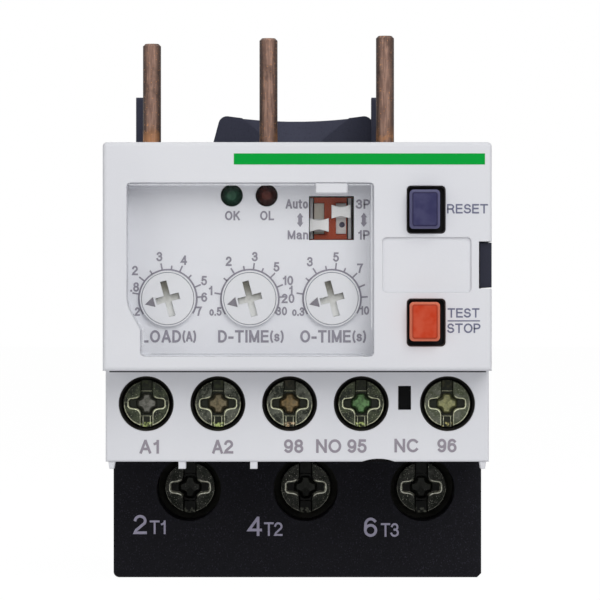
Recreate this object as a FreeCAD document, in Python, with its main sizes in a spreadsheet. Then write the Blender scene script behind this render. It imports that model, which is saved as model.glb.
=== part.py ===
import FreeCAD, Part
import math
import os
import re

import Sketcher
from FreeCAD import Vector

# An electronic overcurrent relay that hangs under a contactor by three copper prongs.
# X runs to the right, Y to the back and Z up. The origin is on the middle prong's axis,
# at the top face of the housing. Lengths are millimetres, and "reach" is a distance
# in front of the prong row.

SIZES = {
    # Housing outline
    "side_left": 4.22,
    "side_right": 2.18,
    "cover_high": 26.46,
    "strip_high": 10.74,
    "base_skirt": 15.0,
    "brow": 6.5,
    "strip_reach": 30.5,
    "base_reach": 8.5,
    "base_back": 31.4,
    "rear_thick": 1.6,
    "rear_lip": 1.2,
    "cover_wall": 1.6,
    "base_wall": 1.6,
    "strip_inset": 0.05,
    "strip_round": 0.25,
    "edge_round": 0.5,
    "corner_round": 0.7,
    "corner_bevel": 0.5,
    "seat_gap": 0.1,
    # Prongs and the bars that they turn into
    "prong_pitch": 14.5,
    "prong_dia": 2.25,
    "prong_high_1": 13.6,
    "prong_high_2": 14.3,
    "prong_high_3": 14.6,
    "prong_bevel": 0.3,
    "prong_bore": 2.8,
    "bar_side": 1.9,
    "bend_drop": 3.0,
    "bend_radius": 3.0,
    "bend_slope": 45.0,
    # Power terminals
    "pole_pitch": 14.3,
    "pole_mid_x": 4.62,
    "pole_drop": 4.2,
    "pole_bore": 7.85,
    "pole_cell_wide": 10.0,
    "pole_cell_front": 1.3,
    "pole_roof": 2.2,
    "pole_head_dia": 6.3,
    "pole_head_thick": 2.4,
    "pole_clamp_high": 8.0,
    "pole_clamp_thick": 1.2,
    "pole_wire_gap": 3.0,
    "pole_plate_thick": 1.2,
    "pole_plate_high": 11.5,
    "pole_support": 2.0,
    "pole_thread": 4.0,
    "pole_thread_end": 6.0,
    # Control terminals
    "control_pitch": 8.4,
    "control_left": 4.8,
    "control_right": 4.9,
    "control_drop": 3.95,
    "control_bore": 6.45,
    "control_cell_wide": 5.8,
    "control_head_dia": 5.5,
    "control_head_thick": 1.9,
    "control_head_sink": 1.2,
    "control_clamp_high": 5.6,
    "control_clamp_thick": 0.9,
    "control_wire_gap": 2.65,
    "control_plate_thick": 0.8,
    "control_plate_high": 7.0,
    "control_tab_wide": 2.0,
    "control_tab_rise": 1.6,
    "control_support": 1.8,
    "control_roof": 0.84,
    "control_thread": 3.5,
    "control_thread_long": 5.4,
    "probe_slot_aside": 5.03,
    "probe_slot_rise": 0.69,
    "probe_slot_wide": 1.5,
    "probe_slot_high": 2.8,
    "rib_wide": 0.85,
    "rib_high": 0.85,
    "rib_deep": 2.5,
    "foot_inset": 0.7,
    "foot_tip": 0.5,
    "scallop_aside": 2.0,
    "scallop_dia": 11.0,
    "scallop_rise": 0.35,
    # Screw drive
    "drive_slot_wide": 1.2,
    "drive_slot_deep": 0.9,
    "drive_arm_long": 4.1,
    "drive_arm_wide": 1.1,
    "thread_gap": 0.05,
    "washer_gap": 0.05,
    "clamp_gap": 0.3,
    # Setting recess and its clear flap
    "recess_left": 2.77,
    "recess_right": 13.63,
    "recess_top": 4.68,
    "recess_foot": 1.67,
    "recess_step_in": 1.56,
    "recess_step_high": 5.95,
    "recess_step_drop": 2.83,
    "recess_sweep": 4.0,
    "recess_deep": 4.2,
    "recess_floor": 1.2,
    "recess_round": 0.5,
    "window_gap": 0.15,
    "window_sink": 0.3,
    "window_thick": 1.2,
    "window_pin_dia": 0.8,
    "window_pin_long": 0.9,
    "window_pin_gap": 0.05,
    "catch_aside": 4.91,
    "catch_wide": 4.0,
    "catch_high": 1.2,
    "catch_lip": 0.3,
    # Setting dials and trimmers
    "dial_pitch": 9.57,
    "dial_aside": 4.82,
    "dial_rise": 6.69,
    "dial_dia": 6.05,
    "dial_gap": 0.2,
    "dial_proud": 0.6,
    "dial_head": 1.5,
    "dial_shaft": 3.2,
    "dial_depth": 1.5,
    "dial_turn": 14.6,
    "dial_slot_long": 4.2,
    "dial_slot_short": 2.8,
    "dial_slot_wide": 0.75,
    "dial_slot_deep": 0.9,
    "dial_arrow_tip": 2.75,
    "dial_arrow_root": 1.62,
    "dial_arrow_half": 0.6,
    "dial_arrow_deep": 0.2,
    "trimmer_wide": 6.5,
    "trimmer_thick": 3.5,
    "running_gap": 0.05,
    # Lamps
    "lamp_aside": 12.44,
    "lamp_pitch": 4.07,
    "lamp_drop": 1.39,
    "lamp_dia": 2.5,
    "lamp_gap": 0.05,
    "lamp_proud": 0.1,
    "lamp_long": 5.1,
    "lamp_bevel": 0.7,
    "lead_thick": 0.5,
    "lead_pitch": 1.27,
    # Mode switch with two sliders
    "dip_aside": 4.88,
    "dip_drop": 4.02,
    "dip_wide": 5.04,
    "dip_high": 4.93,
    "dip_gap": 0.1,
    "dip_thick": 6.5,
    "dip_track_pitch": 2.57,
    "dip_track_offset": 0.14,
    "dip_track_wide": 1.22,
    "dip_track_high": 3.73,
    "dip_track_deep": 1.6,
    "dip_slider_wide": 2.24,
    "dip_slider_high": 1.6,
    "dip_slider_waist": 1.0,
    "dip_slider_thick": 1.4,
    "dip_tongue_wide": 1.1,
    "dip_tongue_high": 1.5,
    "dip_tongue_deep": 1.3,
    "dip_travel": 1.57,
    # Push buttons
    "button_aside": 7.6,
    "reset_drop": 7.82,
    "test_rise": 5.59,
    "button_hole_wide": 4.5,
    "button_hole_high": 5.55,
    "button_hole_round": 0.5,
    "button_offset": 0.15,
    "button_wide": 3.55,
    "button_high": 4.6,
    "button_bevel": 0.3,
    "button_proud": 1.5,
    "button_flange": 1.0,
    "button_flange_lap": 0.55,
    "button_flange_gap": 0.15,
    "button_stem": 2.4,
    "button_travel": 1.0,
    "button_stop_gap": 0.1,
    "switch_wide": 6.0,
    "switch_thick": 3.5,
    "plunger_dia": 3.5,
    "plunger_high": 3.5,
    "plunger_foot": 2.2,
    # Label recess and the latch arm beside it
    "label_aside": 7.51,
    "label_drop": 14.2,
    "label_wide": 10.26,
    "label_high": 6.36,
    "label_round": 0.5,
    "label_deep": 0.3,
    "latch_wide": 1.49,
    "latch_top": 11.5,
    "latch_low": 16.93,
    "latch_gap": 0.12,
    "latch_sink": 0.6,
    "latch_wall": 1.2,
    # Circuit board
    "board_thick": 1.6,
    "board_gap": 0.3,
    "board_right": 3.1,
    "board_post": 2.2,
    "board_post_left": 3.3,
    "board_post_top": 3.1,
    "board_post_low": 3.56,
    "board_post_right": 4.7,
    "board_post_inner": 12.2,
    "board_post_foot": 1.21,
    "base_post": 1.8,
    "base_post_drop": 13.0,
    "base_post_right": 4.1,
    # Current transformers
    "shelf_thick": 5.0,
    "core_gap": 0.38,
    "core_deep": 10.4,
    "core_bore": 4.5,
    "core_high": 10.5,
    "core_bevel": 0.8,
    "pin_wide": 0.7,
    "pin_pitch": 3.0,
    "pin_rise": 8.0,
    "pass_side": 5.0,
    "pass_top": 3.0,
    "pass_rise": 5.0,
    # Output relay, supply capacitor and controller on the back of the board
    "yoke_aside": 15.9,
    "yoke_thick": 1.2,
    "yoke_long": 11.0,
    "yoke_high": 12.6,
    "yoke_drop": 5.0,
    "yoke_deep": 9.0,
    "coil_flange": 8.0,
    "coil_winding": 7.2,
    "coil_flange_thick": 0.6,
    "coil_aside": 0.6,
    "pole_wide": 4.0,
    "pole_tip": 0.4,
    "pole_gap": 1.2,
    "armature_thick": 0.8,
    "armature_inset": 1.0,
    "blade_long": 3.6,
    "blade_thick": 0.3,
    "rivet_wide": 1.6,
    "rivet_proud": 0.4,
    "rivet_inset": 1.3,
    "contact_swing": 0.8,
    "contact_gap": 0.12,
    "contact_wide": 2.6,
    "contact_thick": 0.8,
    "capacitor_aside": 9.9,
    "capacitor_drop": 9.0,
    "capacitor_dia": 6.3,
    "capacitor_long": 10.0,
    "chip_aside": 8.6,
    "chip_drop": 12.0,
    "chip_wide": 7.0,
    "chip_thick": 1.4,
    "chip_bevel": 0.3,
    # Rear posts and the hook that catch the contactor
    "post_left_x": -15.3,
    "post_right_x": 14.3,
    "post_wide": 2.77,
    "post_high": 7.2,
    "post_front": 5.0,
    "post_deep": 4.5,
    "post_round": 0.4,
    "hook_mid_x": 3.35,
    "hook_foot": 22.2,
    "hook_top": 19.0,
    "hook_high": 5.2,
    "hook_dip": 0.75,
    "hook_front": 10.0,
    "hook_deep": 4.0,
    "hook_round": 1.1,
    "scoop_top": 14.5,
    "scoop_low": 4.0,
    "scoop_floor": 0.9,
    "scoop_deep": 2.4,
}

# Housing faces
POLE_X = {n: f"(pole_mid_x + {n - 2} * pole_pitch)" for n in (1, 2, 3)}
LEFT = f"({POLE_X[1]} - pole_cell_wide / 2 - side_left)"
RIGHT = f"({POLE_X[3]} + pole_cell_wide / 2 + side_right)"
COVER_FRONT = "(strip_reach + brow)"
COVER_INNER = f"({COVER_FRONT} - cover_wall)"
COVER_FLOOR = "(-cover_high)"
STRIP_FLOOR = f"({COVER_FLOOR} - strip_high)"
BASE_FLOOR = f"({STRIP_FLOOR} - base_skirt)"

# Power terminal stack, as reaches in front of the prong row, and its levels
POLE_CLAMP_FRONT = "(pole_cell_front - 2 * seat_gap)"
POLE_HEAD_FRONT = f"({POLE_CLAMP_FRONT} + washer_gap + pole_head_thick)"
POLE_CLAMP_BACK = f"({POLE_CLAMP_FRONT} - pole_clamp_thick)"
POLE_PLATE_FRONT = f"({POLE_CLAMP_BACK} - pole_wire_gap)"
POLE_PLATE_BACK = f"({POLE_PLATE_FRONT} - pole_plate_thick)"
POLE_SUPPORT_BACK = f"({POLE_PLATE_BACK} - pole_support)"
POLE_Z = f"({STRIP_FLOOR} - pole_drop)"
POLE_CEILING = f"({STRIP_FLOOR} + pole_roof)"
SHELF = f"({POLE_CEILING} + shelf_thick)"

# Control terminal stack and its levels
CONTROL_HEAD_FRONT = "(strip_reach - control_head_sink)"
CONTROL_CLAMP_FRONT = f"({CONTROL_HEAD_FRONT} - control_head_thick - washer_gap)"
CONTROL_CLAMP_BACK = f"({CONTROL_CLAMP_FRONT} - control_clamp_thick)"
CONTROL_PLATE_FRONT = f"({CONTROL_CLAMP_BACK} - control_wire_gap)"
CONTROL_PLATE_BACK = f"({CONTROL_PLATE_FRONT} - control_plate_thick)"
CONTROL_SUPPORT_BACK = f"({CONTROL_PLATE_BACK} - control_support)"
CONTROL_Z = f"({COVER_FLOOR} - control_drop)"
CONTROL_CEILING = f"({COVER_FLOOR} - control_roof)"
CONTROL_X = {n: f"({LEFT} + control_left + {n - 1} * control_pitch)" for n in (1, 2, 3, 4)}
CONTROL_X[5] = f"({RIGHT} - control_right)"

# Setting recess, its floor and the flap
RECESS_LEFT = f"({LEFT} + recess_left)"
RECESS_RIGHT = f"({RIGHT} - recess_right)"
RECESS_TOP = "(-recess_top)"
RECESS_LOW = f"({COVER_FLOOR} + recess_foot)"
RECESS_STEP_X = f"({RECESS_LEFT} + recess_step_in)"
RECESS_STEP_Z = f"({RECESS_LOW} + recess_step_high)"
FLOOR_FRONT = f"({COVER_FRONT} - recess_deep)"
FLOOR_BACK = f"({FLOOR_FRONT} - recess_floor)"
WINDOW_FRONT = f"({COVER_FRONT} - window_sink)"
WINDOW_AXIS_REACH = f"({WINDOW_FRONT} - window_thick / 2)"
WINDOW_AXIS_Z = f"({RECESS_LOW} + window_gap + window_thick / 2)"
CATCH_X = f"({RECESS_RIGHT} - catch_aside)"

# What shows through the recess floor
DIAL_X = {n: f"({RECESS_RIGHT} - dial_aside - {3 - n} * dial_pitch)" for n in (1, 2, 3)}
DIAL_Z = f"({RECESS_LOW} + dial_rise)"
LAMP_X = {
    "led_green": f"({RECESS_RIGHT} - lamp_aside - lamp_pitch)",
    "led_red": f"({RECESS_RIGHT} - lamp_aside)",
}
LAMP_Z = f"({RECESS_TOP} - lamp_drop)"
DIP_X = f"({RECESS_RIGHT} - dip_aside)"
DIP_Z = f"({RECESS_TOP} - dip_drop)"
TRACK_X = {
    "left": f"({DIP_X} - dip_track_offset - dip_track_pitch / 2)",
    "right": f"({DIP_X} - dip_track_offset + dip_track_pitch / 2)",
}
SLIDER_Z = {"left": f"({DIP_Z} - dip_travel / 2)", "right": f"({DIP_Z} + dip_travel / 2)"}

# Circuit board: the control plates' tabs lie on its front
BOARD_FRONT = CONTROL_PLATE_BACK
BOARD_BACK = f"({BOARD_FRONT} - board_thick)"
BOARD_FOOT = f"({COVER_FLOOR} + board_gap)"
BOARD_POSTS = [
    (f"{LEFT} + board_post_left", "-board_post_top", FLOOR_BACK),
    (f"{LEFT} + board_post_left", f"{COVER_FLOOR} + board_post_low", FLOOR_BACK),
    (f"{RIGHT} - board_post_right", "-board_post_top", COVER_INNER),
    (f"{RIGHT} - board_post_inner", f"{COVER_FLOOR} + board_post_foot", COVER_INNER),
]

# Button stack
HOLE_X = f"({RIGHT} - button_aside)"
BUTTON_X = f"({HOLE_X} - button_offset)"
BUTTON_Z = {"reset": "(-reset_drop)", "test": f"({COVER_FLOOR} + test_rise)"}
FLANGE_FRONT = f"({COVER_INNER} - button_flange_gap)"
FLANGE_BACK = f"({FLANGE_FRONT} - button_flange)"
SWITCH_FRONT = f"({BOARD_FRONT} + switch_thick)"
PLUNGER_FRONT = f"({SWITCH_FRONT} + plunger_high)"

# Output relay on the back of the board
YOKE_LEFT = f"({LEFT} + yoke_aside)"
YOKE_RIGHT = f"({YOKE_LEFT} + yoke_long)"
YOKE_TOP = "(-yoke_drop)"
YOKE_FOOT = f"({YOKE_TOP} - yoke_high + yoke_thick)"
YOKE_PIVOT_X = f"({YOKE_LEFT} + yoke_thick)"
YOKE_REAR = f"({BOARD_BACK} - yoke_deep)"
COIL_X = f"({YOKE_PIVOT_X} + coil_aside + coil_flange / 2)"
COIL_REACH = f"({BOARD_BACK} - yoke_deep / 2)"
BLADE_END = f"({YOKE_RIGHT} + blade_long)"
RIVET_X = f"({BLADE_END} - rivet_inset)"

PRONG_HIGH = {1: "prong_high_1", 2: "prong_high_2", 3: "prong_high_3"}
PRONG_X = {n: f"({n - 2} * prong_pitch)" for n in (1, 2, 3)}

# Planes of a body, named for the way that their pads grow
FORWARD = "XZ_Plane"
UPWARD = "XY_Plane"
RIGHTWARD = "YZ_Plane"

TOUCH = 0.01
QUARTER_TURN = math.pi / 2

doc = FreeCAD.newDocument("overcurrent_relay")
sheet = doc.addObject("Spreadsheet::Sheet", "sizes")
for row, (alias, size) in enumerate(SIZES.items(), 1):
    sheet.set(f"A{row}", alias)
    sheet.set(f"B{row}", str(size))
    sheet.setAlias(f"B{row}", alias)
doc.recompute()

sub_parts = []


# Expressions

def bind(text):
    """Put the sheet's name before each size in an expression."""
    return re.sub(r"[a-z]\w*", lambda word: f"sizes.{word[0]}" if word[0] in SIZES else word[0], text)


def number(text):
    """Work out an expression from the sheet as it stands."""
    return float(sheet.evalExpression(bind(text)))


# Outlines: each returns a function that draws it into a sketch

def measure(sketch, kind, text, *places):
    """Add a size to a sketch and bind it to an expression."""
    made = sketch.addConstraint(Sketcher.Constraint(kind, *places, number(text)))
    sketch.setExpression(f"Constraints[{made}]", bind(text))


def hold(sketch, shape, point, x, y):
    """Hold one point of a sketch at two expressions."""
    measure(sketch, "DistanceX", x, -1, 1, shape, point)
    measure(sketch, "DistanceY", y, -1, 1, shape, point)


def polygon(*corners):
    """Closed outline through corners given as pairs of expressions."""
    def draw(sketch):
        first = sketch.GeometryCount
        count = len(corners)
        spots = [Vector(number(x), number(y), 0) for x, y in corners]
        for n in range(count):
            sketch.addGeometry(Part.LineSegment(spots[n], spots[(n + 1) % count]))
        for n, (x, y) in enumerate(corners):
            sketch.addConstraint(Sketcher.Constraint("Coincident", first + n, 1, first + (n - 1) % count, 2))
            hold(sketch, first + n, 1, x, y)
    return draw


def rectangle(left, right, low, high):
    """Upright rectangle between four expressions."""
    return polygon((left, low), (right, low), (right, high), (left, high))


def block(x, y, wide, high):
    """Rectangle about a middle point."""
    return rectangle(f"{x} - {wide} / 2", f"{x} + {wide} / 2", f"{y} - {high} / 2", f"{y} + {high} / 2")


def circle(x, y, diameter):
    """Circle about a point."""
    def draw(sketch):
        middle = Vector(number(x), number(y), 0)
        made = sketch.addGeometry(Part.Circle(middle, Vector(0, 0, 1), number(diameter) / 2))
        hold(sketch, made, 3, x, y)
        measure(sketch, "Diameter", diameter, made)
    return draw


def rounded(x, y, wide, high, radius):
    """Rectangle about a middle point, with its corners rounded by tangent arcs."""
    def draw(sketch):
        first = sketch.GeometryCount
        r = number(radius)
        right = number(f"{x} + {wide} / 2")
        left = number(f"{x} - {wide} / 2")
        top = number(f"{y} + {high} / 2")
        low = number(f"{y} - {high} / 2")
        runs = [
            ((left + r, low), (right - r, low), (right - r, low + r)),
            ((right, low + r), (right, top - r), (right - r, top - r)),
            ((right - r, top), (left + r, top), (left + r, top - r)),
            ((left, top - r), (left, low + r), (left + r, low + r)),
        ]
        for n, (start, end, middle) in enumerate(runs):
            sketch.addGeometry(Part.LineSegment(Vector(*start, 0), Vector(*end, 0)))
            ring = Part.Circle(Vector(*middle, 0), Vector(0, 0, 1), r)
            sketch.addGeometry(Part.ArcOfCircle(ring, (n - 1) * QUARTER_TURN, n * QUARTER_TURN))
        for n in range(8):
            sketch.addConstraint(Sketcher.Constraint("Tangent", first + n, 2, first + (n + 1) % 8, 1))
        for n, kind in enumerate(("Horizontal", "Vertical", "Horizontal", "Vertical")):
            sketch.addConstraint(Sketcher.Constraint(kind, first + 2 * n))
        for n in (3, 5, 7):
            sketch.addConstraint(Sketcher.Constraint("Equal", first + 1, first + n))
        measure(sketch, "Radius", radius, first + 1)
        measure(sketch, "DistanceY", f"{y} - {high} / 2", -1, 1, first, 1)
        measure(sketch, "DistanceX", f"{x} + {wide} / 2", -1, 1, first + 2, 1)
        measure(sketch, "DistanceY", f"{y} + {high} / 2", -1, 1, first + 4, 1)
        measure(sketch, "DistanceX", f"{x} - {wide} / 2", -1, 1, first + 6, 1)
    return draw


# Features

def new_body(label):
    """Start a sub-part."""
    made = doc.addObject("PartDesign::Body", label)
    made.Label = label
    sub_parts.append(made)
    return made


def sketch_on(owner, name, plane, start, shapes, at=("0", "0"), turn="0"):
    """Draw outlines on a plane of the body's origin, moved to a start and a place."""
    made = owner.newObject("Sketcher::SketchObject", name)
    base = next(face for face in owner.Origin.OriginFeatures if face.Role == plane)
    made.AttachmentSupport = [(base, "")]
    made.MapMode = "FlatFace"
    for axis, text in zip("xyz", (*at, start)):
        made.setExpression(f"AttachmentOffset.Base.{axis}", bind(text))
    if turn != "0":
        made.setExpression("AttachmentOffset.Rotation.Angle", bind(turn))
    for draw in shapes:
        draw(made)
    return made


def pad(owner, name, plane, start, length, *shapes, **place):
    """Grow outlines from a start along the plane's own direction."""
    made = owner.newObject("PartDesign::Pad", name)
    made.Profile = sketch_on(owner, f"{name}_outline", plane, start, shapes, **place)
    made.setExpression("Length", bind(length))
    doc.recompute()
    return made


def pocket(owner, name, plane, start, length, *shapes, along=False, **place):
    """Cut outlines from a start, against the plane's own direction or along it."""
    before = owner.Shape.Volume
    made = owner.newObject("PartDesign::Pocket", name)
    made.Profile = sketch_on(owner, f"{name}_outline", plane, start, shapes, **place)
    made.Reversed = along
    made.setExpression("Length", bind(length))
    doc.recompute()
    if owner.Shape.Volume >= before:
        raise ValueError(f"{name} in {owner.Label} cuts nothing")
    return made


def revolve(owner, name, plane, start, axis, *corners, **place):
    """Turn a profile about an axis of its own sketch."""
    made = owner.newObject("PartDesign::Revolution", name)
    outline = sketch_on(owner, f"{name}_profile", plane, start, [polygon(*corners)], **place)
    made.Profile = outline
    made.ReferenceAxis = (outline, [axis])
    made.Angle = 360
    doc.recompute()
    return made


def turned(owner, name, x, z, *corners):
    """Turn a profile of reach and radius about an axis that points to the front."""
    profile = [(f"-({reach})", radius) for reach, radius in corners]
    return revolve(owner, name, RIGHTWARD, x, "H_Axis", *profile, at=("0", z))


def lying(**places):
    """Pick edges that lie wholly at the given coordinates."""
    levels = {axis: number(text) for axis, text in places.items()}

    def test(edge):
        box = edge.BoundBox
        ends = {"x": (box.XMin, box.XMax), "y": (box.YMin, box.YMax), "z": (box.ZMin, box.ZMax)}
        return all(abs(end - level) < TOUCH for axis, level in levels.items() for end in ends[axis])
    return test


def soften(owner, name, size, *tests, kind="Fillet"):
    """Round or bevel the edges of a body that any of the tests picks."""
    base = owner.Tip
    picked = [f"Edge{n}" for n, edge in enumerate(base.Shape.Edges, 1) if any(test(edge) for test in tests)]
    made = owner.newObject(f"PartDesign::{kind}", name)
    made.Base = (base, picked)
    made.setExpression("Radius" if kind == "Fillet" else "Size", bind(size))
    doc.recompute()
    return made


# Black base with its cells, shelf, posts, hook and latch arm

def hook_outline(sketch):
    """Trapezium whose top edge dips in an arc."""
    foot_left, foot_right = "hook_mid_x - hook_foot / 2", "hook_mid_x + hook_foot / 2"
    top_left, top_right = "hook_mid_x - hook_top / 2", "hook_mid_x + hook_top / 2"
    spots = [(foot_left, "-base_wall / 2"), (foot_right, "-base_wall / 2"), (top_right, "hook_high"),
             (top_left, "hook_high")]
    corners = [Vector(number(x), number(y), 0) for x, y in spots]
    for start, end in ((3, 0), (0, 1), (1, 2)):
        sketch.addGeometry(Part.LineSegment(corners[start], corners[end]))
    lowest = Vector(number("hook_mid_x"), number("hook_high - hook_dip"), 0)
    sketch.addGeometry(Part.Arc(corners[3], lowest, corners[2]))
    for shape in (0, 1):
        sketch.addConstraint(Sketcher.Constraint("Coincident", shape, 2, shape + 1, 1))
    sketch.addConstraint(Sketcher.Constraint("Coincident", 3, 1, 0, 1))
    sketch.addConstraint(Sketcher.Constraint("Coincident", 3, 2, 2, 2))
    hold(sketch, 0, 1, *spots[3])
    hold(sketch, 1, 1, *spots[0])
    hold(sketch, 1, 2, *spots[1])
    hold(sketch, 2, 2, *spots[2])
    measure(sketch, "Radius", "hook_top * hook_top / (8 * hook_dip) + hook_dip / 2", 3)


def make_base():
    body = new_body("base_housing")
    inner_left, inner_right = f"{LEFT} + base_wall", f"{RIGHT} - base_wall"
    pad(body, "base_block", FORWARD, "-base_back", "base_back + base_reach",
        rectangle(LEFT, RIGHT, BASE_FLOOR, "0"))
    soften(body, "base_corner", "corner_round", lying(x=LEFT, z=BASE_FLOOR))
    soften(body, "base_bevel", "corner_bevel", lying(x=RIGHT, z=BASE_FLOOR), kind="Chamfer")
    pocket(body, "rear_chamber", FORWARD, "-base_back", f"base_back + {POLE_SUPPORT_BACK}",
           rectangle(inner_left, inner_right, f"{BASE_FLOOR} + base_wall", "-base_wall"), along=True)
    pocket(body, "core_chamber", FORWARD, "-base_back", "base_back + base_reach - base_wall",
           rectangle(inner_left, inner_right, SHELF, "-base_wall"), along=True)
    pocket(body, "front_pass", FORWARD, "base_reach", "base_wall",
           rectangle(f"{LEFT} + pass_side", f"{RIGHT} - pass_side", f"{SHELF} + pass_rise", "-pass_top"))
    pocket(body, "cells", UPWARD, BASE_FLOOR, f"{POLE_CEILING} - {BASE_FLOOR}",
           *[rectangle(f"{x} - pole_cell_wide / 2", f"{x} + pole_cell_wide / 2", "-pole_cell_front",
                       f"-{POLE_PLATE_BACK}") for x in POLE_X.values()], along=True)
    pocket(body, "screw_bores", FORWARD, "base_reach", "base_reach - pole_cell_front",
           *[circle(x, POLE_Z, "pole_bore") for x in POLE_X.values()])
    shank_hole, bar_hole = "(pole_thread + 2 * seat_gap)", "(bar_side + 2 * seat_gap)"
    pocket(body, "shank_holes", FORWARD, POLE_PLATE_BACK, "pole_support",
           *[block(x, POLE_Z, shank_hole, shank_hole) for x in POLE_X.values()])
    pocket(body, "bar_holes", UPWARD, SHELF, "shelf_thick",
           *[block(x, "0", bar_hole, bar_hole) for x in POLE_X.values()])
    pocket(body, "prong_bores", UPWARD, "0", "base_wall",
           *[circle(x, "0", "prong_bore") for x in PRONG_X.values()])
    for side in ("left", "right"):
        post_x = f"post_{side}_x"
        pad(body, f"post_{side}", FORWARD, "-post_front - post_deep", "post_deep",
            rectangle(f"{post_x} - post_wide / 2", f"{post_x} + post_wide / 2", "-base_wall / 2",
                      "post_high"))
    pad(body, "hook", FORWARD, "-hook_front - hook_deep", "hook_deep", hook_outline)
    soften(body, "hook_corners", "hook_round",
           lying(x="hook_mid_x - hook_top / 2", z="hook_high"),
           lying(x="hook_mid_x + hook_top / 2", z="hook_high"))
    scoop = body.newObject("PartDesign::SubtractiveLoft", "hook_scoop")
    scoop.Profile = sketch_on(body, "scoop_low_end", UPWARD, "scoop_floor", [rectangle(
        "hook_mid_x - scoop_low / 2", "hook_mid_x + scoop_low / 2", "hook_front - seat_gap",
        "hook_front + seat_gap")])
    scoop.Sections = [sketch_on(body, "scoop_top_end", UPWARD, "hook_high", [rectangle(
        "hook_mid_x - scoop_top / 2", "hook_mid_x + scoop_top / 2", "hook_front - seat_gap",
        "hook_front + scoop_deep")])]
    doc.recompute()
    soften(body, "post_tops", "post_round", lying(y="post_front", z="post_high"),
           lying(y="post_front + post_deep", z="post_high"))
    pad(body, "latch_arm", FORWARD, "base_reach", f"{COVER_FRONT} - base_reach - latch_sink",
        rectangle(f"{RIGHT} - latch_wide + latch_gap", RIGHT, "-latch_low + latch_gap",
                  "-latch_top - latch_gap"))
    pad(body, "board_rests", FORWARD, "base_reach", f"{BOARD_BACK} - base_reach",
        block(f"{LEFT} + board_post_left", "-base_post_drop", "base_post", "base_post"),
        block(f"({RIGHT} - base_post_right)", "-base_post_drop", "base_post", "base_post"))


def make_rear_cover():
    body = new_body("rear_cover")
    pad(body, "rear_plate", FORWARD, "-base_back - rear_thick", "rear_thick",
        rectangle(LEFT, RIGHT, BASE_FLOOR, "0"))
    soften(body, "rear_edges", "edge_round", lying(y="base_back + rear_thick"))
    pad(body, "rear_lip", FORWARD, "-base_back", "rear_lip",
        rectangle(f"{LEFT} + base_wall + seat_gap", f"{RIGHT} - base_wall - seat_gap",
                  f"{BASE_FLOOR} + base_wall + seat_gap", "-base_wall - seat_gap"))


# White control terminal block

def make_control_block():
    body = new_body("control_block")
    left, right = f"({LEFT} + strip_inset)", f"({RIGHT} - strip_inset)"
    pad(body, "strip", FORWARD, "base_reach", "strip_reach - base_reach",
        rectangle(left, right, STRIP_FLOOR, COVER_FLOOR))
    soften(body, "strip_edges", "strip_round", lying(x=left, y="-strip_reach"),
           lying(x=right, y="-strip_reach"), lying(y="-strip_reach", z=STRIP_FLOOR))
    pocket(body, "strip_hollow", FORWARD, "base_reach", f"{CONTROL_SUPPORT_BACK} - base_reach",
           rectangle(f"{left} + cover_wall", f"{right} - cover_wall", f"{STRIP_FLOOR} + cover_wall",
                     COVER_FLOOR), along=True)
    pocket(body, "cells", UPWARD, STRIP_FLOOR, f"{CONTROL_CEILING} - {STRIP_FLOOR}",
           *[rectangle(f"{x} - control_cell_wide / 2", f"{x} + control_cell_wide / 2",
                       f"-{CONTROL_CLAMP_FRONT} - 2 * seat_gap", f"-{CONTROL_PLATE_BACK}")
             for x in CONTROL_X.values()], along=True)
    pocket(body, "screw_bores", FORWARD, "strip_reach", f"strip_reach - {CONTROL_CLAMP_FRONT}",
           *[circle(x, CONTROL_Z, "control_bore") for x in CONTROL_X.values()])
    shank_hole = "(control_thread + 2 * seat_gap)"
    pocket(body, "shank_holes", FORWARD, CONTROL_PLATE_BACK, "control_support",
           *[block(x, CONTROL_Z, shank_hole, shank_hole) for x in CONTROL_X.values()])
    pocket(body, "tab_slots", UPWARD, COVER_FLOOR, "control_roof",
           *[rectangle(f"{x} - control_tab_wide / 2 - seat_gap", f"{x} + control_tab_wide / 2 + seat_gap",
                       f"-{CONTROL_PLATE_FRONT} - seat_gap", f"-{CONTROL_PLATE_BACK}")
             for x in CONTROL_X.values()])
    pocket(body, "probe_slot", FORWARD, "strip_reach", "control_head_thick + control_head_sink",
           block(f"{CONTROL_X[5]} - probe_slot_aside", f"{CONTROL_Z} + probe_slot_rise", "probe_slot_wide",
                 "probe_slot_high"))
    pocket(body, "scallop", FORWARD, "strip_reach", "rib_deep",
           circle(f"{CONTROL_X[4]} + scallop_aside", f"{STRIP_FLOOR} + scallop_rise - scallop_dia / 2",
                  "scallop_dia"))
    rib_back, rib_low, rib_root = ("strip_reach - rib_deep - strip_round", f"{STRIP_FLOOR} - rib_high",
                                   f"{STRIP_FLOOR} + strip_round")
    pad(body, "ribs", FORWARD, rib_back, "rib_deep",
        *[rectangle(f"{x} - rib_wide / 2", f"{x} + rib_wide / 2", rib_low, rib_root)
          for x in [f"({CONTROL_X[n]} + control_pitch / 2)" for n in (1, 2)]])
    pad(body, "feet", FORWARD, rib_back, "rib_deep",
        *[polygon((f"{x} - rib_wide / 2", rib_root), (f"{x} - foot_tip / 2", rib_low),
                  (f"{x} + foot_tip / 2", rib_low), (f"{x} + rib_wide / 2", rib_root))
          for x in (f"({left} + foot_inset)", f"({right} - foot_inset)")])


# White front cover; its setting recess has a long swept corner at the lower left

SWEPT_CORNER = 4


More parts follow.
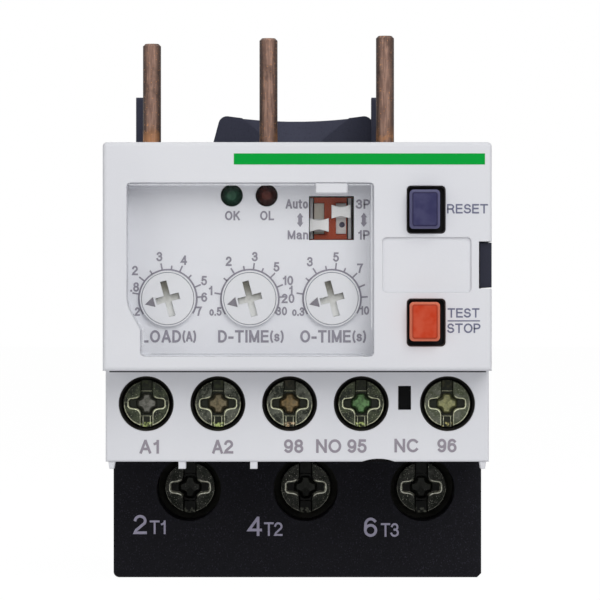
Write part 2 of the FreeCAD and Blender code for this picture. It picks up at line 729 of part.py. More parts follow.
def recess_corners(inset):
    """Corners of the setting recess, drawn in by an inset all round."""
    return [
        (f"{RECESS_STEP_X} + {inset}", f"{RECESS_LOW} + {inset}"),
        (f"{RECESS_RIGHT} - {inset}", f"{RECESS_LOW} + {inset}"),
        (f"{RECESS_RIGHT} - {inset}", f"{RECESS_TOP} - {inset}"),
        (f"{RECESS_LEFT} + {inset}", f"{RECESS_TOP} - {inset}"),
        (f"{RECESS_LEFT} + {inset}", f"{RECESS_STEP_Z} + {inset}"),
        (f"{RECESS_STEP_X} + {inset}", f"{RECESS_STEP_Z} - recess_step_drop + {inset}"),
    ]


def make_front_cover():
    body = new_body("front_cover")
    pad(body, "shell", FORWARD, "base_reach", f"{COVER_FRONT} - base_reach",
        rectangle(LEFT, RIGHT, COVER_FLOOR, "0"))
    soften(body, "shell_edges", "edge_round", lying(y=f"-{COVER_FRONT}"), lying(x=LEFT, z="0"),
           lying(x=RIGHT, z="0"))
    inner_left, inner_right = f"{LEFT} + cover_wall", f"{RIGHT} - cover_wall"
    pocket(body, "hollow", FORWARD, "base_reach", f"{COVER_INNER} - base_reach",
           rectangle(inner_left, inner_right, f"{COVER_FLOOR} + cover_wall", "-cover_wall"), along=True)
    pocket(body, "open_foot", FORWARD, "base_reach", "strip_reach - cover_wall - base_reach",
           rectangle(inner_left, inner_right, COVER_FLOOR, f"{COVER_FLOOR} + 2 * cover_wall"), along=True)
    pad(body, "recess_tray", FORWARD, FLOOR_BACK, f"{COVER_FRONT} - cover_wall / 2 - {FLOOR_BACK}",
        rectangle(f"{LEFT} + cover_wall / 2", f"{RECESS_RIGHT} + recess_floor",
                  f"{COVER_FLOOR} + cover_wall / 2", f"{RECESS_TOP} + recess_floor"))
    pocket(body, "recess", FORWARD, COVER_FRONT, "recess_deep", polygon(*recess_corners("0")))
    corners = [lying(x=x, z=z) for x, z in recess_corners("0")]
    swept = corners.pop(SWEPT_CORNER)
    soften(body, "recess_corners", "recess_round", *corners)
    soften(body, "recess_swept", "recess_sweep", swept)
    pocket(body, "dial_holes", FORWARD, FLOOR_FRONT, "recess_floor",
           *[circle(x, DIAL_Z, "dial_dia + 2 * dial_gap") for x in DIAL_X.values()])
    pocket(body, "lamp_holes", FORWARD, FLOOR_FRONT, "recess_floor",
           *[circle(x, LAMP_Z, "lamp_dia + 2 * lamp_gap") for x in LAMP_X.values()])
    pocket(body, "dip_hole", FORWARD, FLOOR_FRONT, "recess_floor",
           block(DIP_X, DIP_Z, "(dip_wide + 2 * dip_gap)", "(dip_high + 2 * dip_gap)"))
    socket_dia = "window_pin_dia + 2 * window_pin_gap"
    socket_long = "window_pin_long + seat_gap"
    pocket(body, "socket_right", RIGHTWARD, f"{RECESS_RIGHT} - window_gap", socket_long,
           circle(f"-{WINDOW_AXIS_REACH}", WINDOW_AXIS_Z, socket_dia), along=True)
    pocket(body, "socket_left", RIGHTWARD, f"{RECESS_STEP_X} + window_gap", socket_long,
           circle(f"-{WINDOW_AXIS_REACH}", WINDOW_AXIS_Z, socket_dia))
    pocket(body, "button_holes", FORWARD, COVER_FRONT, "cover_wall",
           *[rounded(HOLE_X, z, "button_hole_wide", "button_hole_high", "button_hole_round")
             for z in BUTTON_Z.values()])
    pocket(body, "label_recess", FORWARD, COVER_FRONT, "label_deep",
           rounded(f"{RIGHT} - label_aside", "-label_drop", "label_wide", "label_high", "label_round"))
    pad(body, "latch_channel", FORWARD, "base_reach", f"{COVER_INNER} - base_reach",
        rectangle(f"{RIGHT} - latch_wide - latch_wall", f"{RIGHT} - cover_wall / 2",
                  "-latch_low - latch_wall", "-latch_top + latch_wall"))
    pocket(body, "latch_notch", FORWARD, "base_reach", f"{COVER_FRONT} - base_reach",
           rectangle(f"{RIGHT} - latch_wide", RIGHT, "-latch_low", "-latch_top"), along=True)
    for n, (x, z, root) in enumerate(BOARD_POSTS, 1):
        pad(body, f"board_post_{n}", FORWARD, BOARD_FRONT, f"{root} - {BOARD_FRONT}",
            block(x, z, "board_post", "board_post"))


def make_setting_window():
    body = new_body("setting_window")
    corners = recess_corners("window_gap")
    corners[0] = (corners[0][0], WINDOW_AXIS_Z)
    corners[1] = (corners[1][0], WINDOW_AXIS_Z)
    pad(body, "pane", FORWARD, f"{WINDOW_FRONT} - window_thick", "window_thick", polygon(*corners))
    upper = [lying(x=x, z=z) for x, z in corners[2:SWEPT_CORNER]]
    soften(body, "pane_corners", "recess_round", *upper)
    swept_x, swept_z = corners[SWEPT_CORNER]
    soften(body, "pane_swept", "recess_sweep", lying(x=swept_x, z=swept_z))
    barrel_left, barrel_right = f"({RECESS_STEP_X} + window_gap)", f"({RECESS_RIGHT} - window_gap)"
    middle = (f"-{WINDOW_AXIS_REACH}", WINDOW_AXIS_Z)
    pad(body, "barrel", RIGHTWARD, barrel_left, f"{barrel_right} - {barrel_left}",
        circle(*middle, "window_thick"))
    pad(body, "pins", RIGHTWARD, f"{barrel_left} - window_pin_long",
        f"{barrel_right} - {barrel_left} + 2 * window_pin_long", circle(*middle, "window_pin_dia"))
    top = f"{RECESS_TOP} - window_gap"
    pocket(body, "finger_notch", FORWARD, WINDOW_FRONT, "window_thick",
           rectangle(f"{CATCH_X} - catch_wide / 2 - catch_lip", f"{CATCH_X} + catch_wide / 2 + catch_lip",
                     f"{top} - catch_high - catch_lip", top))
    back = f"-{WINDOW_FRONT} + window_thick"
    pad(body, "catch", RIGHTWARD, f"{CATCH_X} - catch_wide / 2", "catch_wide",
        polygon((f"-{WINDOW_FRONT}", f"{top} - catch_high - 2 * catch_lip"),
                (back, f"{top} - catch_high - 2 * catch_lip"), (back, top), (f"{back} - catch_lip", top),
                (f"-{WINDOW_FRONT}", f"{top} - catch_high")))


# Conductors and power terminals

def bar_path(n):
    """Path of a bar in the prong row's plane: down, across by two equal bends, and down to the plate."""
    across = f"({POLE_X[n]} - {PRONG_X[n]})"
    bend_wide = "(bend_radius * (1 - cos(bend_slope)))"
    bend_high = "(bend_radius * sin(bend_slope))"
    run_high = f"(({across} - 2 * {bend_wide}) / tan(bend_slope))"
    spots = [
        (PRONG_X[n], "0"),
        (PRONG_X[n], "-bend_drop"),
        (f"{PRONG_X[n]} + {bend_wide}", f"-bend_drop - {bend_high}"),
        (f"{POLE_X[n]} - {bend_wide}", f"-bend_drop - {bend_high} - {run_high}"),
        (POLE_X[n], f"-bend_drop - 2 * {bend_high} - {run_high}"),
        (POLE_X[n], POLE_CEILING),
    ]
    half_wide = "bend_radius * (1 - cos(bend_slope / 2))"
    half_high = "bend_radius * sin(bend_slope / 2)"
    halfway = [
        (f"{PRONG_X[n]} + {half_wide}", f"-bend_drop - {half_high}"),
        (f"{POLE_X[n]} - {half_wide}", f"-bend_drop - 2 * {bend_high} - {run_high} + {half_high}"),
    ]

    def draw(sketch):
        ends = [Vector(number(x), number(z), 0) for x, z in spots]
        bends = [Vector(number(x), number(z), 0) for x, z in halfway]
        sketch.addGeometry(Part.LineSegment(ends[0], ends[1]))
        sketch.addGeometry(Part.Arc(ends[1], bends[0], ends[2]))
        sketch.addGeometry(Part.LineSegment(ends[2], ends[3]))
        sketch.addGeometry(Part.Arc(ends[3], bends[1], ends[4]))
        sketch.addGeometry(Part.LineSegment(ends[4], ends[5]))
        for line in (0, 2, 4):
            hold(sketch, line, 1, *spots[line])
            hold(sketch, line, 2, *spots[line + 1])
        # The second bend runs clockwise, so its own start is its lower end
        for line_end, arc_end in (((0, 2), (1, 1)), ((1, 2), (2, 1)), ((2, 2), (3, 2)), ((3, 1), (4, 1))):
            sketch.addConstraint(Sketcher.Constraint("Coincident", *line_end, *arc_end))
        for arc in (1, 3):
            measure(sketch, "Radius", "bend_radius", arc)
    return draw


def make_conductor(n):
    body = new_body(f"conductor_{n}")
    pad(body, "prong", UPWARD, "0", PRONG_HIGH[n], circle(PRONG_X[n], "0", "prong_dia"))
    soften(body, "prong_tip", "prong_bevel", lying(z=PRONG_HIGH[n]), kind="Chamfer")
    bar = body.newObject("PartDesign::AdditivePipe", "bar")
    section = block(PRONG_X[n], "0", "bar_side", "bar_side")
    bar.Profile = sketch_on(body, "bar_section", UPWARD, "0", [section])
    bar.Spine = (sketch_on(body, "bar_path", FORWARD, "0", [bar_path(n)]), [])
    doc.recompute()


def make_power_plate(n):
    body = new_body(f"power_plate_{n}")
    wide = "(pole_cell_wide - 2 * running_gap)"
    front, back = f"-{POLE_PLATE_FRONT}", f"-{POLE_PLATE_BACK}"
    pad(body, "angle", RIGHTWARD, f"{POLE_X[n]} - {wide} / 2", wide,
        polygon((back, POLE_CEILING), (f"-{POLE_CLAMP_FRONT}", POLE_CEILING),
                (f"-{POLE_CLAMP_FRONT}", f"{POLE_CEILING} - pole_plate_thick"),
                (front, f"{POLE_CEILING} - pole_plate_thick"), (front, f"{POLE_CEILING} - pole_plate_high"),
                (back, f"{POLE_CEILING} - pole_plate_high")))
    pocket(body, "thread", FORWARD, POLE_PLATE_FRONT, "pole_plate_thick",
           circle(POLE_X[n], POLE_Z, "pole_thread + 2 * thread_gap"))


def make_clamp(label, x, z, size, front):
    """Square wire clamp that rides under a screw head."""
    body = new_body(label)
    pad(body, "clamp", FORWARD, f"{front} - {size}_clamp_thick", f"{size}_clamp_thick",
        block(x, z, f"({size}_cell_wide - 2 * clamp_gap)", f"{size}_clamp_high"))
    pocket(body, "hole", FORWARD, front, f"{size}_clamp_thick",
           circle(x, z, f"{size}_thread + 2 * thread_gap"))


def make_screw(label, x, z, size, front, tip):
    """Flat-headed screw with a slot right across and a shorter cross arm."""
    body = new_body(label)
    head, thread = f"{size}_head_dia / 2", f"{size}_thread / 2"
    seat = f"{front} - {size}_head_thick"
    turned(body, "screw", x, z, (front, "0"), (front, head), (seat, head), (seat, thread), (tip, thread),
           (tip, "0"))
    pocket(body, "slot", FORWARD, front, "drive_slot_deep",
           block("0", "0", "drive_slot_wide", f"{size}_head_dia"), at=(x, z))
    pocket(body, "cross_arm", FORWARD, front, "drive_slot_deep",
           block("0", "0", "drive_arm_long", "drive_arm_wide"), at=(x, z))


def make_transformer(n):
    body = new_body(f"current_transformer_{n}")
    wide = "(pole_cell_wide + 2 * (side_right - base_wall - core_gap))"
    pad(body, "potted_core", UPWARD, SHELF, "core_high", block(POLE_X[n], "0", wide, "core_deep"))
    half = "core_deep / 2"
    corners = [lying(x=f"{POLE_X[n]} {way} {wide} / 2", y=f"{deep}{half}")
               for way in "+-" for deep in ("", "-")]
    soften(body, "core_corners", "core_bevel", *corners, kind="Chamfer")
    pocket(body, "bar_window", UPWARD, f"{SHELF} + core_high", "core_high",
           circle(POLE_X[n], "0", "core_bore"))
    pad(body, "pins", FORWARD, half, f"{BOARD_BACK} - {half}",
        *[block(f"({POLE_X[n]} + {side} * pin_pitch / 2)", f"({SHELF} + pin_rise)", "pin_wide", "pin_wide")
          for side in (-1, 1)])


# Control terminals

def make_control_plates():
    body = new_body("control_plates")
    half, tab = "(control_cell_wide / 2 - running_gap)", "control_tab_wide / 2"
    tab_top = f"{BOARD_FOOT} + control_tab_rise"
    foot = f"{CONTROL_CEILING} - control_plate_high"
    pad(body, "plates", FORWARD, CONTROL_PLATE_BACK, "control_plate_thick",
        *[polygon((f"{x} - {half}", foot), (f"{x} + {half}", foot), (f"{x} + {half}", CONTROL_CEILING),
                  (f"{x} + {tab}", CONTROL_CEILING), (f"{x} + {tab}", tab_top), (f"{x} - {tab}", tab_top),
                  (f"{x} - {tab}", CONTROL_CEILING), (f"{x} - {half}", CONTROL_CEILING))
          for x in CONTROL_X.values()])
    pocket(body, "threads", FORWARD, CONTROL_PLATE_FRONT, "control_plate_thick",
           *[circle(x, CONTROL_Z, "control_thread + 2 * thread_gap") for x in CONTROL_X.values()])


# Circuit board and what stands on it

def make_board():
    body = new_body("main_board")
    pad(body, "board", FORWARD, BOARD_BACK, "board_thick",
        rectangle(f"{LEFT} + cover_wall + board_gap", f"{RIGHT} - board_right", BOARD_FOOT,
                  "-cover_wall - board_gap"))


def make_output_relay():
    frame = new_body("relay_frame")
    pad(frame, "yoke", FORWARD, YOKE_REAR, "yoke_deep",
        polygon((YOKE_LEFT, f"{YOKE_TOP} - yoke_high"), (YOKE_RIGHT, f"{YOKE_TOP} - yoke_high"),
                (YOKE_RIGHT, YOKE_FOOT), (YOKE_PIVOT_X, YOKE_FOOT), (YOKE_PIVOT_X, YOKE_TOP),
                (YOKE_LEFT, YOKE_TOP)))
    coil = new_body("relay_coil")
    rim = f"({YOKE_TOP} - pole_gap - pole_tip)"
    flange = block(COIL_X, f"-{COIL_REACH}", "coil_flange", "coil_flange")
    pad(coil, "foot_flange", UPWARD, YOKE_FOOT, "coil_flange_thick", flange)
    pad(coil, "winding", UPWARD, YOKE_FOOT, f"{rim} - {YOKE_FOOT}",
        block(COIL_X, f"-{COIL_REACH}", "coil_winding", "coil_winding"))
    pad(coil, "top_flange", UPWARD, f"{rim} - coil_flange_thick", "coil_flange_thick", flange)
    pad(coil, "pole_piece", UPWARD, rim, "pole_tip",
        block(COIL_X, f"-{COIL_REACH}", "pole_wide", "pole_wide"))
    armature = new_body("relay_armature")
    deep = "(yoke_deep - 2 * armature_inset)"
    rear = f"{YOKE_REAR} + armature_inset"
    pad(armature, "plate", FORWARD, rear, deep,
        polygon((YOKE_LEFT, YOKE_TOP), (YOKE_RIGHT, YOKE_TOP),
                (YOKE_RIGHT, f"{YOKE_TOP} + armature_thick - blade_thick"),
                (BLADE_END, f"{YOKE_TOP} + armature_thick - blade_thick"),
                (BLADE_END, f"{YOKE_TOP} + armature_thick"), (YOKE_LEFT, f"{YOKE_TOP} + armature_thick")))
    rivet_foot = f"{YOKE_TOP} + armature_thick - blade_thick - rivet_proud"
    pad(armature, "rivet", UPWARD, rivet_foot, "blade_thick + 2 * rivet_proud",
        block(RIVET_X, f"-{COIL_REACH}", "rivet_wide", "rivet_wide"))
    contacts = new_body("relay_contacts")
    rest = f"{rivet_foot} + blade_thick + 2 * rivet_proud + contact_gap"
    made = f"{rivet_foot} - contact_swing - contact_gap"
    pad(contacts, "posts", FORWARD, f"{COIL_REACH} - contact_wide / 2",
        f"{BOARD_BACK} - {COIL_REACH} + contact_wide / 2",
        rectangle(f"{RIVET_X} - contact_wide / 2", f"{RIVET_X} + contact_wide / 2", rest,
                  f"{rest} + contact_thick"),
        rectangle(f"{RIVET_X} - contact_wide / 2", f"{RIVET_X} + contact_wide / 2", f"{made} - contact_thick",
                  made))


def make_supply():
    capacitor = new_body("supply_capacitor")
    x, z = f"{LEFT} + capacitor_aside", "-capacitor_drop"
    pad(capacitor, "can", FORWARD, f"{BOARD_BACK} - capacitor_long", "capacitor_long",
        circle(x, z, "capacitor_dia"))
    chip = new_body("controller_chip")
    pad(chip, "package", FORWARD, f"{BOARD_BACK} - chip_thick", "chip_thick",
        block(f"({RIGHT} - chip_aside)", "-chip_drop", "chip_wide", "chip_wide"))
    soften(chip, "package_bevel", "chip_bevel", lying(y=f"chip_thick - {BOARD_BACK}"), kind="Chamfer")


# Settings: dials on trimmers, lamps and the mode switch

def make_trimmer(n):
    body = new_body(f"trimmer_{n}")
    front = f"{BOARD_FRONT} + trimmer_thick"
    pad(body, "case", FORWARD, BOARD_FRONT, "trimmer_thick",
        block(DIAL_X[n], DIAL_Z, "trimmer_wide", "trimmer_wide"))
    pocket(body, "bore", FORWARD, front, "dial_depth + seat_gap",
           circle(DIAL_X[n], DIAL_Z, "dial_shaft + 2 * running_gap"))


def make_dial(n):
    body = new_body(f"dial_{n}")
    front = f"({FLOOR_FRONT} + dial_proud)"
    tip = f"{BOARD_FRONT} + trimmer_thick - dial_depth"
    place = {"at": (DIAL_X[n], DIAL_Z), "turn": "dial_turn"}
    turned(body, "knob", DIAL_X[n], DIAL_Z, (front, "0"), (front, "dial_dia / 2"),
           (f"{front} - dial_head", "dial_dia / 2"), (f"{front} - dial_head", "dial_shaft / 2"),
           (tip, "dial_shaft / 2"), (tip, "0"))
    pocket(body, "long_slot", FORWARD, front, "dial_slot_deep",
           block("0", "0", "dial_slot_wide", "dial_slot_long"), **place)
    pocket(body, "short_slot", FORWARD, front, "dial_slot_deep",
           block("0", "0", "dial_slot_short", "dial_slot_wide"), **place)
    pocket(body, "arrow", FORWARD, front, "dial_arrow_deep",
           polygon(("-dial_arrow_tip", "0"), ("-dial_arrow_root", "-dial_arrow_half"),
                   ("-dial_arrow_root", "dial_arrow_half")), **place)


def make_lamp(label):
    body = new_body(label)
    x = LAMP_X[label]
    front = f"({FLOOR_FRONT} + lamp_proud)"
    back = f"({front} - lamp_long)"
    pad(body, "lens", FORWARD, back, "lamp_long", circle(x, LAMP_Z, "lamp_dia"))
    soften(body, "dome", "lamp_bevel", lying(y=f"-{front}"), kind="Chamfer")
    pad(body, "leads", FORWARD, BOARD_FRONT, f"{back} - {BOARD_FRONT}",
        *[block(f"({x} + {side} * lead_pitch / 2)", LAMP_Z, "lead_thick", "lead_thick") for side in (-1, 1)])


def make_mode_switch():
    case = new_body("dip_body")
    front = f"({BOARD_FRONT} + dip_thick)"
    pad(case, "case", FORWARD, BOARD_FRONT, "dip_thick", block(DIP_X, DIP_Z, "dip_wide", "dip_high"))
    pocket(case, "tracks", FORWARD, front, "dip_track_deep",
           *[block(x, DIP_Z, "dip_track_wide", "dip_track_high") for x in TRACK_X.values()])
    for side, x in TRACK_X.items():
        slider = new_body(f"dip_slider_{side}")
        half_wide, half_high = "dip_slider_wide / 2", "dip_slider_high / 2"
        half_waist = "dip_slider_waist / 2"
        pad(slider, "cap", FORWARD, f"{front} + seat_gap", "dip_slider_thick",
            polygon((f"-{half_wide}", f"-{half_high}"), ("0", f"-{half_waist}"), (half_wide, f"-{half_high}"),
                    (half_wide, half_high), ("0", half_waist), (f"-{half_wide}", half_high)),
            at=(x, SLIDER_Z[side]))
        pad(slider, "tongue", FORWARD, f"{front} - dip_tongue_deep", "dip_tongue_deep + 2 * seat_gap",
            block("0", "0", "dip_tongue_wide", "dip_tongue_high"), at=(x, SLIDER_Z[side]))


# Push buttons with their switches

def make_button(name):
    z = BUTTON_Z[name]
    button = new_body(f"{name}_button")
    front = f"({COVER_FRONT} + button_proud)"
    pad(button, "cap", FORWARD, FLANGE_BACK, f"{front} - {FLANGE_BACK}",
        block(BUTTON_X, z, "button_wide", "button_high"))
    soften(button, "cap_bevel", "button_bevel", lying(y=f"-{front}"), kind="Chamfer")
    pad(button, "flange", FORWARD, FLANGE_BACK, "button_flange",
        block(HOLE_X, z, "(button_hole_wide + 2 * button_flange_lap)",
              "(button_hole_high + 2 * button_flange_lap)"))
    pad(button, "stem", FORWARD, PLUNGER_FRONT, f"{FLANGE_BACK} - {PLUNGER_FRONT}",
        circle(HOLE_X, z, "button_stem"))
    plunger = new_body(f"{name}_plunger")
    pad(plunger, "plunger", FORWARD, f"{SWITCH_FRONT} - plunger_foot", "plunger_high + plunger_foot",
        circle(HOLE_X, z, "plunger_dia"))
    switch = new_body(f"{name}_switch")
    pad(switch, "case", FORWARD, BOARD_FRONT, "switch_thick", block(HOLE_X, z, "switch_wide", "switch_wide"))
    pocket(switch, "bore", FORWARD, SWITCH_FRONT, "plunger_foot + button_travel + button_stop_gap",
           circle(HOLE_X, z, "plunger_dia + 2 * running_gap"))


def build():
    """Make every sub-part."""
    make_base()
    make_rear_cover()
    make_control_block()
    make_front_cover()
    make_setting_window()
    for n in (1, 2, 3):
        make_conductor(n)
        make_transformer(n)
        make_power_plate(n)
        make_clamp(f"power_clamp_{n}", POLE_X[n], POLE_Z, "pole", POLE_CLAMP_FRONT)
        make_screw(f"power_screw_{n}", POLE_X[n], POLE_Z, "pole", POLE_HEAD_FRONT, "(-pole_thread_end)")
    make_control_plates()
    for n, x in CONTROL_X.items():
        make_clamp(f"control_clamp_{n}", x, CONTROL_Z, "control", CONTROL_CLAMP_FRONT)
        make_screw(f"control_screw_{n}", x, CONTROL_Z, "control", CONTROL_HEAD_FRONT,
                   f"({CONTROL_CLAMP_FRONT} - control_thread_long)")
    make_board()
    make_output_relay()
    make_supply()
    for n in (1, 2, 3):
        make_trimmer(n)
        make_dial(n)
    for label in LAMP_X:
        make_lamp(label)
    make_mode_switch()
    for name in BUTTON_Z:
        make_button(name)


def check():
    """Stop if any object failed or any sub-part's shape is empty or broken."""
    doc.recompute()
    for item in doc.Objects:
        if "Invalid" in item.State or "Error" in item.State:
            raise ValueError(f"{item.Name} failed: {item.State}")
    for part in sub_parts:
        if part.Shape.isNull() or not part.Shape.isValid():
            raise ValueError(f"{part.Label} has no valid shape")


build()
check()
os.makedirs("parts", exist_ok=True)
for part in sub_parts:
    part.Shape.exportStep(f"parts/{part.Label}.step")
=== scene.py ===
"""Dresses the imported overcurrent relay: its finishes, prints, screws, button caps and the studio round it."""

import logging
import math
from dataclasses import dataclass, field
from enum import Enum
from typing import Any, Callable, Optional, Sequence, Union

import bmesh
import bpy
import numpy as np
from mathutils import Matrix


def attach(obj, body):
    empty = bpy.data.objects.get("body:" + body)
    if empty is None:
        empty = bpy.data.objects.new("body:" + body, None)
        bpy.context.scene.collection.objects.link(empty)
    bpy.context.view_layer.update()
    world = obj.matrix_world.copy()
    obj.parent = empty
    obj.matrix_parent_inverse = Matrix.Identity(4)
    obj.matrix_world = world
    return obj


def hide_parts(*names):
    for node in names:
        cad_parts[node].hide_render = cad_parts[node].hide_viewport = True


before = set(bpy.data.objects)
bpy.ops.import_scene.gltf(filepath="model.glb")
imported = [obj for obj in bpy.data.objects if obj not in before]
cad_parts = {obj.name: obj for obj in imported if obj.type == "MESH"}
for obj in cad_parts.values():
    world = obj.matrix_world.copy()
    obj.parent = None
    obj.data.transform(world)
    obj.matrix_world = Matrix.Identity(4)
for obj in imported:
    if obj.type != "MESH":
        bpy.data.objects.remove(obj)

MM = 0.001
MERGE = 2e-7
SLIVER = 1e-8
CREASE = math.radians(35.0)
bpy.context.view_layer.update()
log = logging.getLogger("relay")

Value = Union[float, tuple, "Link"]
Pair = tuple[float, float]
Path = Union[np.ndarray, Sequence[Pair]]
Triple = tuple[float, float, float]
Colour = Triple
Box = tuple[float, float, float, float]
Rows = tuple[tuple[Any, ...], ...]

# Places that several sub-assemblies share, in millimetres
COVER_FRONT = -37.0
CONTROL_X = (-14.1, -5.7, 2.7, 11.1, 21.2)
CONTROL_UP = -30.41


def srgb(red: int, green: int, blue: int) -> Colour:
    """Turns an eight-bit display colour into the linear colour that a shader takes.

    Args:
        red: Red, 0 to 255.
        green: Green, 0 to 255.
        blue: Blue, 0 to 255.

    Returns:
        The three linear channels, 0 to 1.
    """
    channel = np.array([red, green, blue]) / 255
    linear = np.where(channel <= 0.04045, channel / 12.92, ((channel + 0.055) / 1.055) ** 2.4)
    return tuple(linear.tolist())


# Shaders


def operator(operation: str, swapped: bool = False) -> Callable[["Link", Value], "Link"]:
    """Makes the method behind one of Python's operators.

    Args:
        operation: The Math node's operation.
        swapped: Whether the other value comes first, as in a right-hand operator.

    Returns:
        The method, which adds one Math node.
    """
    def method(link: "Link", other: Value) -> "Link":
        """Adds the node for the link and the other value."""
        return link.math(operation, *((other, link) if swapped else (link, other)))

    return method


class Link:
    """An output socket on which Python's arithmetic adds Math nodes."""

    __add__, __radd__ = operator("ADD"), operator("ADD", swapped=True)
    __sub__, __rsub__ = operator("SUBTRACT"), operator("SUBTRACT", swapped=True)
    __mul__, __rmul__ = operator("MULTIPLY"), operator("MULTIPLY", swapped=True)
    __truediv__, __rtruediv__ = operator("DIVIDE"), operator("DIVIDE", swapped=True)
    __pow__, __rpow__ = operator("POWER"), operator("POWER", swapped=True)

    def __init__(self, shader: "Shader", socket: bpy.types.NodeSocket) -> None:
        """Keeps the shader that the socket belongs to, and the socket."""
        self.shader = shader
        self.socket = socket

    def math(self, operation: str, *values: Value) -> "Link":
        """Adds one Math node, with numbers or links for its inputs in order, and gives its result."""
        return self.shader.node("ShaderNodeMath", {"operation": operation}, dict(enumerate(values)))

    def step(self, low: float, high: float) -> "Link":
        """A smooth step from 0 at low to 1 at high."""
        return self.shader.node("ShaderNodeMapRange", {"interpolation_type": "SMOOTHSTEP"},
                                {0: self, 1: low, 2: high, 3: 0.0, 4: 1.0})


class Shader:
    """A material's node tree, written as expressions. Patterns are in millimetres of Object coordinates."""

    def __init__(self, name: str, holder: Optional[bpy.types.ID] = None) -> None:
        """Empties a node tree.

        Args:
            name: The new material's name.
            holder: What holds the tree, where it isn't a new material.
        """
        self.material = holder or bpy.data.materials.new(name)
        self.material.use_nodes = True
        self.tree = self.material.node_tree
        self.tree.nodes.clear()

    def node(self, kind: str, settings: dict[str, Any], inputs: dict[Any, Value],
             output: Union[int, str] = 0) -> Link:
        """Adds a node of any type.

        Args:
            kind: The node's type.
            settings: Its properties, which are set first.
            inputs: Numbers, colours or links by socket name or index.
            output: The name or index of the output that is wanted.

        Returns:
            That output, or the first input of a node that has none, as a link.
        """
        made = self.tree.nodes.new(kind)
        for key, value in settings.items():
            setattr(made, key, value)
        for key, value in inputs.items():
            socket = made.inputs[key]
            if isinstance(value, Link):
                self.tree.links.new(value.socket, socket)
            elif isinstance(value, tuple) and len(value) == 3 and socket.type == "RGBA":
                socket.default_value = (*value, 1.0)
            else:
                socket.default_value = value
        return Link(self, made.outputs[output] if made.outputs else made.inputs[0])

    def place(self, stretch: Triple = (1, 1, 1)) -> Link:
        """Object coordinates in millimetres, each axis multiplied by its stretch.

        Args:
            stretch: Across, in depth and up.

        Returns:
            The vector.
        """
        here = self.node("ShaderNodeTexCoord", {}, {}, "Object")
        scale = tuple(squeeze / MM for squeeze in stretch)
        return self.node("ShaderNodeMapping", {}, {"Vector": here, "Scale": scale})

    def axis(self, index: int) -> Link:
        """One object coordinate in millimetres: 0 across, 1 in depth, 2 up."""
        return self.node("ShaderNodeSeparateXYZ", {}, {0: self.place()}, index)

    def noise(self, scale: float, detail: float = 2.0, stretch: Triple = (1, 1, 1)) -> Link:
        """Noise from 0 to 1, of scale features to the millimetre along an axis whose stretch is 1."""
        return self.node("ShaderNodeTexNoise", {},
                         {"Vector": self.place(stretch), "Scale": scale, "Detail": detail})

    def attribute(self, name: str) -> Link:
        """A number that the mesh carries at its points."""
        return self.node("ShaderNodeAttribute", {"attribute_name": name}, {}, "Fac")

    def blend(self, factor: Value, first: Value, second: Value) -> Link:
        """Mixes two colours: factor 0 gives the first and 1 the second."""
        return self.node("ShaderNodeMix", {"data_type": "RGBA"}, {0: factor, 6: first, 7: second}, 2)

    def relief(self, height: Link, depth: float, edge: float = 0.0) -> Link:
        """A bumped normal.

        Args:
            height: The relief, 0 to 1.
            depth: Its depth in millimetres.
            edge: The radius that the shape's edges look rounded to, in millimetres.

        Returns:
            The normal.
        """
        inputs: dict[Any, Value] = {"Height": height, "Distance": depth * MM, "Strength": 1.0}
        if edge:
            inputs["Normal"] = self.node("ShaderNodeBevel", {"samples": 6}, {"Radius": edge * MM})
        return self.node("ShaderNodeBump", {}, inputs)

    def surface(self, **sockets: Value) -> bpy.types.Material:
        """Ends the material in a Principled shader.

        Args:
            sockets: Its inputs, with underscores for spaces.

        Returns:
            The material.
        """
        named = {key.replace("_", " "): value for key, value in sockets.items()}
        shaded = self.node("ShaderNodeBsdfPrincipled", {}, named)
        self.node("ShaderNodeOutputMaterial", {}, {"Surface": shaded})
        return self.material


# Finishes


class Finish:
    """What the finishes share. Each is made of its colours and writes itself into a shader."""

    def material(self, name: str) -> bpy.types.Material:
        """Makes the finish's material of that name."""
        return self.write(Shader(name))

    def write(self, s: Shader) -> bpy.types.Material:
        """Writes the nodes into an empty shader. Each finish says in its own method what varies, and how."""
        raise NotImplementedError


@dataclass(frozen=True)
class MouldedPlastic(Finish):
    """Moulded thermoplastic with a spark-eroded skin."""

    colour: Colour
    tint: Colour
    roughness: float = 0.5
    grain: float = 5.0
    depth: float = 0.02
    edge: float = 0.12
    gloss: float = 0.35

    def write(self, s: Shader) -> bpy.types.Material:
        """Colour drifts slowly and speckles finely, and the fine noise is the skin's relief.

        Args:
            s: An empty shader.

        Returns:
            The shader's material.
        """
        drift = s.noise(0.06, 2.0)
        speck = s.noise(self.grain, 3.0)
        colour = s.blend(drift.step(0.3, 0.7) * 0.6 + speck * 0.4, self.colour, self.tint)
        return s.surface(Base_Color=colour, Roughness=self.roughness + (speck - 0.5) * 0.18,
                         Specular_IOR_Level=self.gloss, Normal=s.relief(speck, self.depth, self.edge))


@dataclass(frozen=True)
class ClearPane(Finish):
    """Clear polycarbonate: nearly all light passes, and faint haze and wipe marks show."""

    colour: Colour = (0.86, 0.89, 0.92)
    veil: float = 0.004

    def write(self, s: Shader) -> bpy.types.Material:
        """The haze is the alpha: a constant veil, more at grazing angles as painted reflection, and fine wipe
        marks.

        Args:
            s: An empty shader.

        Returns:
            The shader's material.
        """
        wipe = s.noise(0.35, 4.0, (0.3, 1.0, 2.4))
        facing = s.node("ShaderNodeLayerWeight", {}, {"Blend": 0.35}, "Facing")
        # The paler veil at grazing angles is painted reflection.
        alpha = self.veil + 0.45 * facing ** 2.0 + 0.012 * wipe.step(0.45, 0.75)
        return s.surface(Base_Color=self.colour, Roughness=0.06 + 0.1 * wipe, Alpha=alpha,
                         Specular_IOR_Level=0.6, Coat_Weight=0.3, Coat_Roughness=0.03)


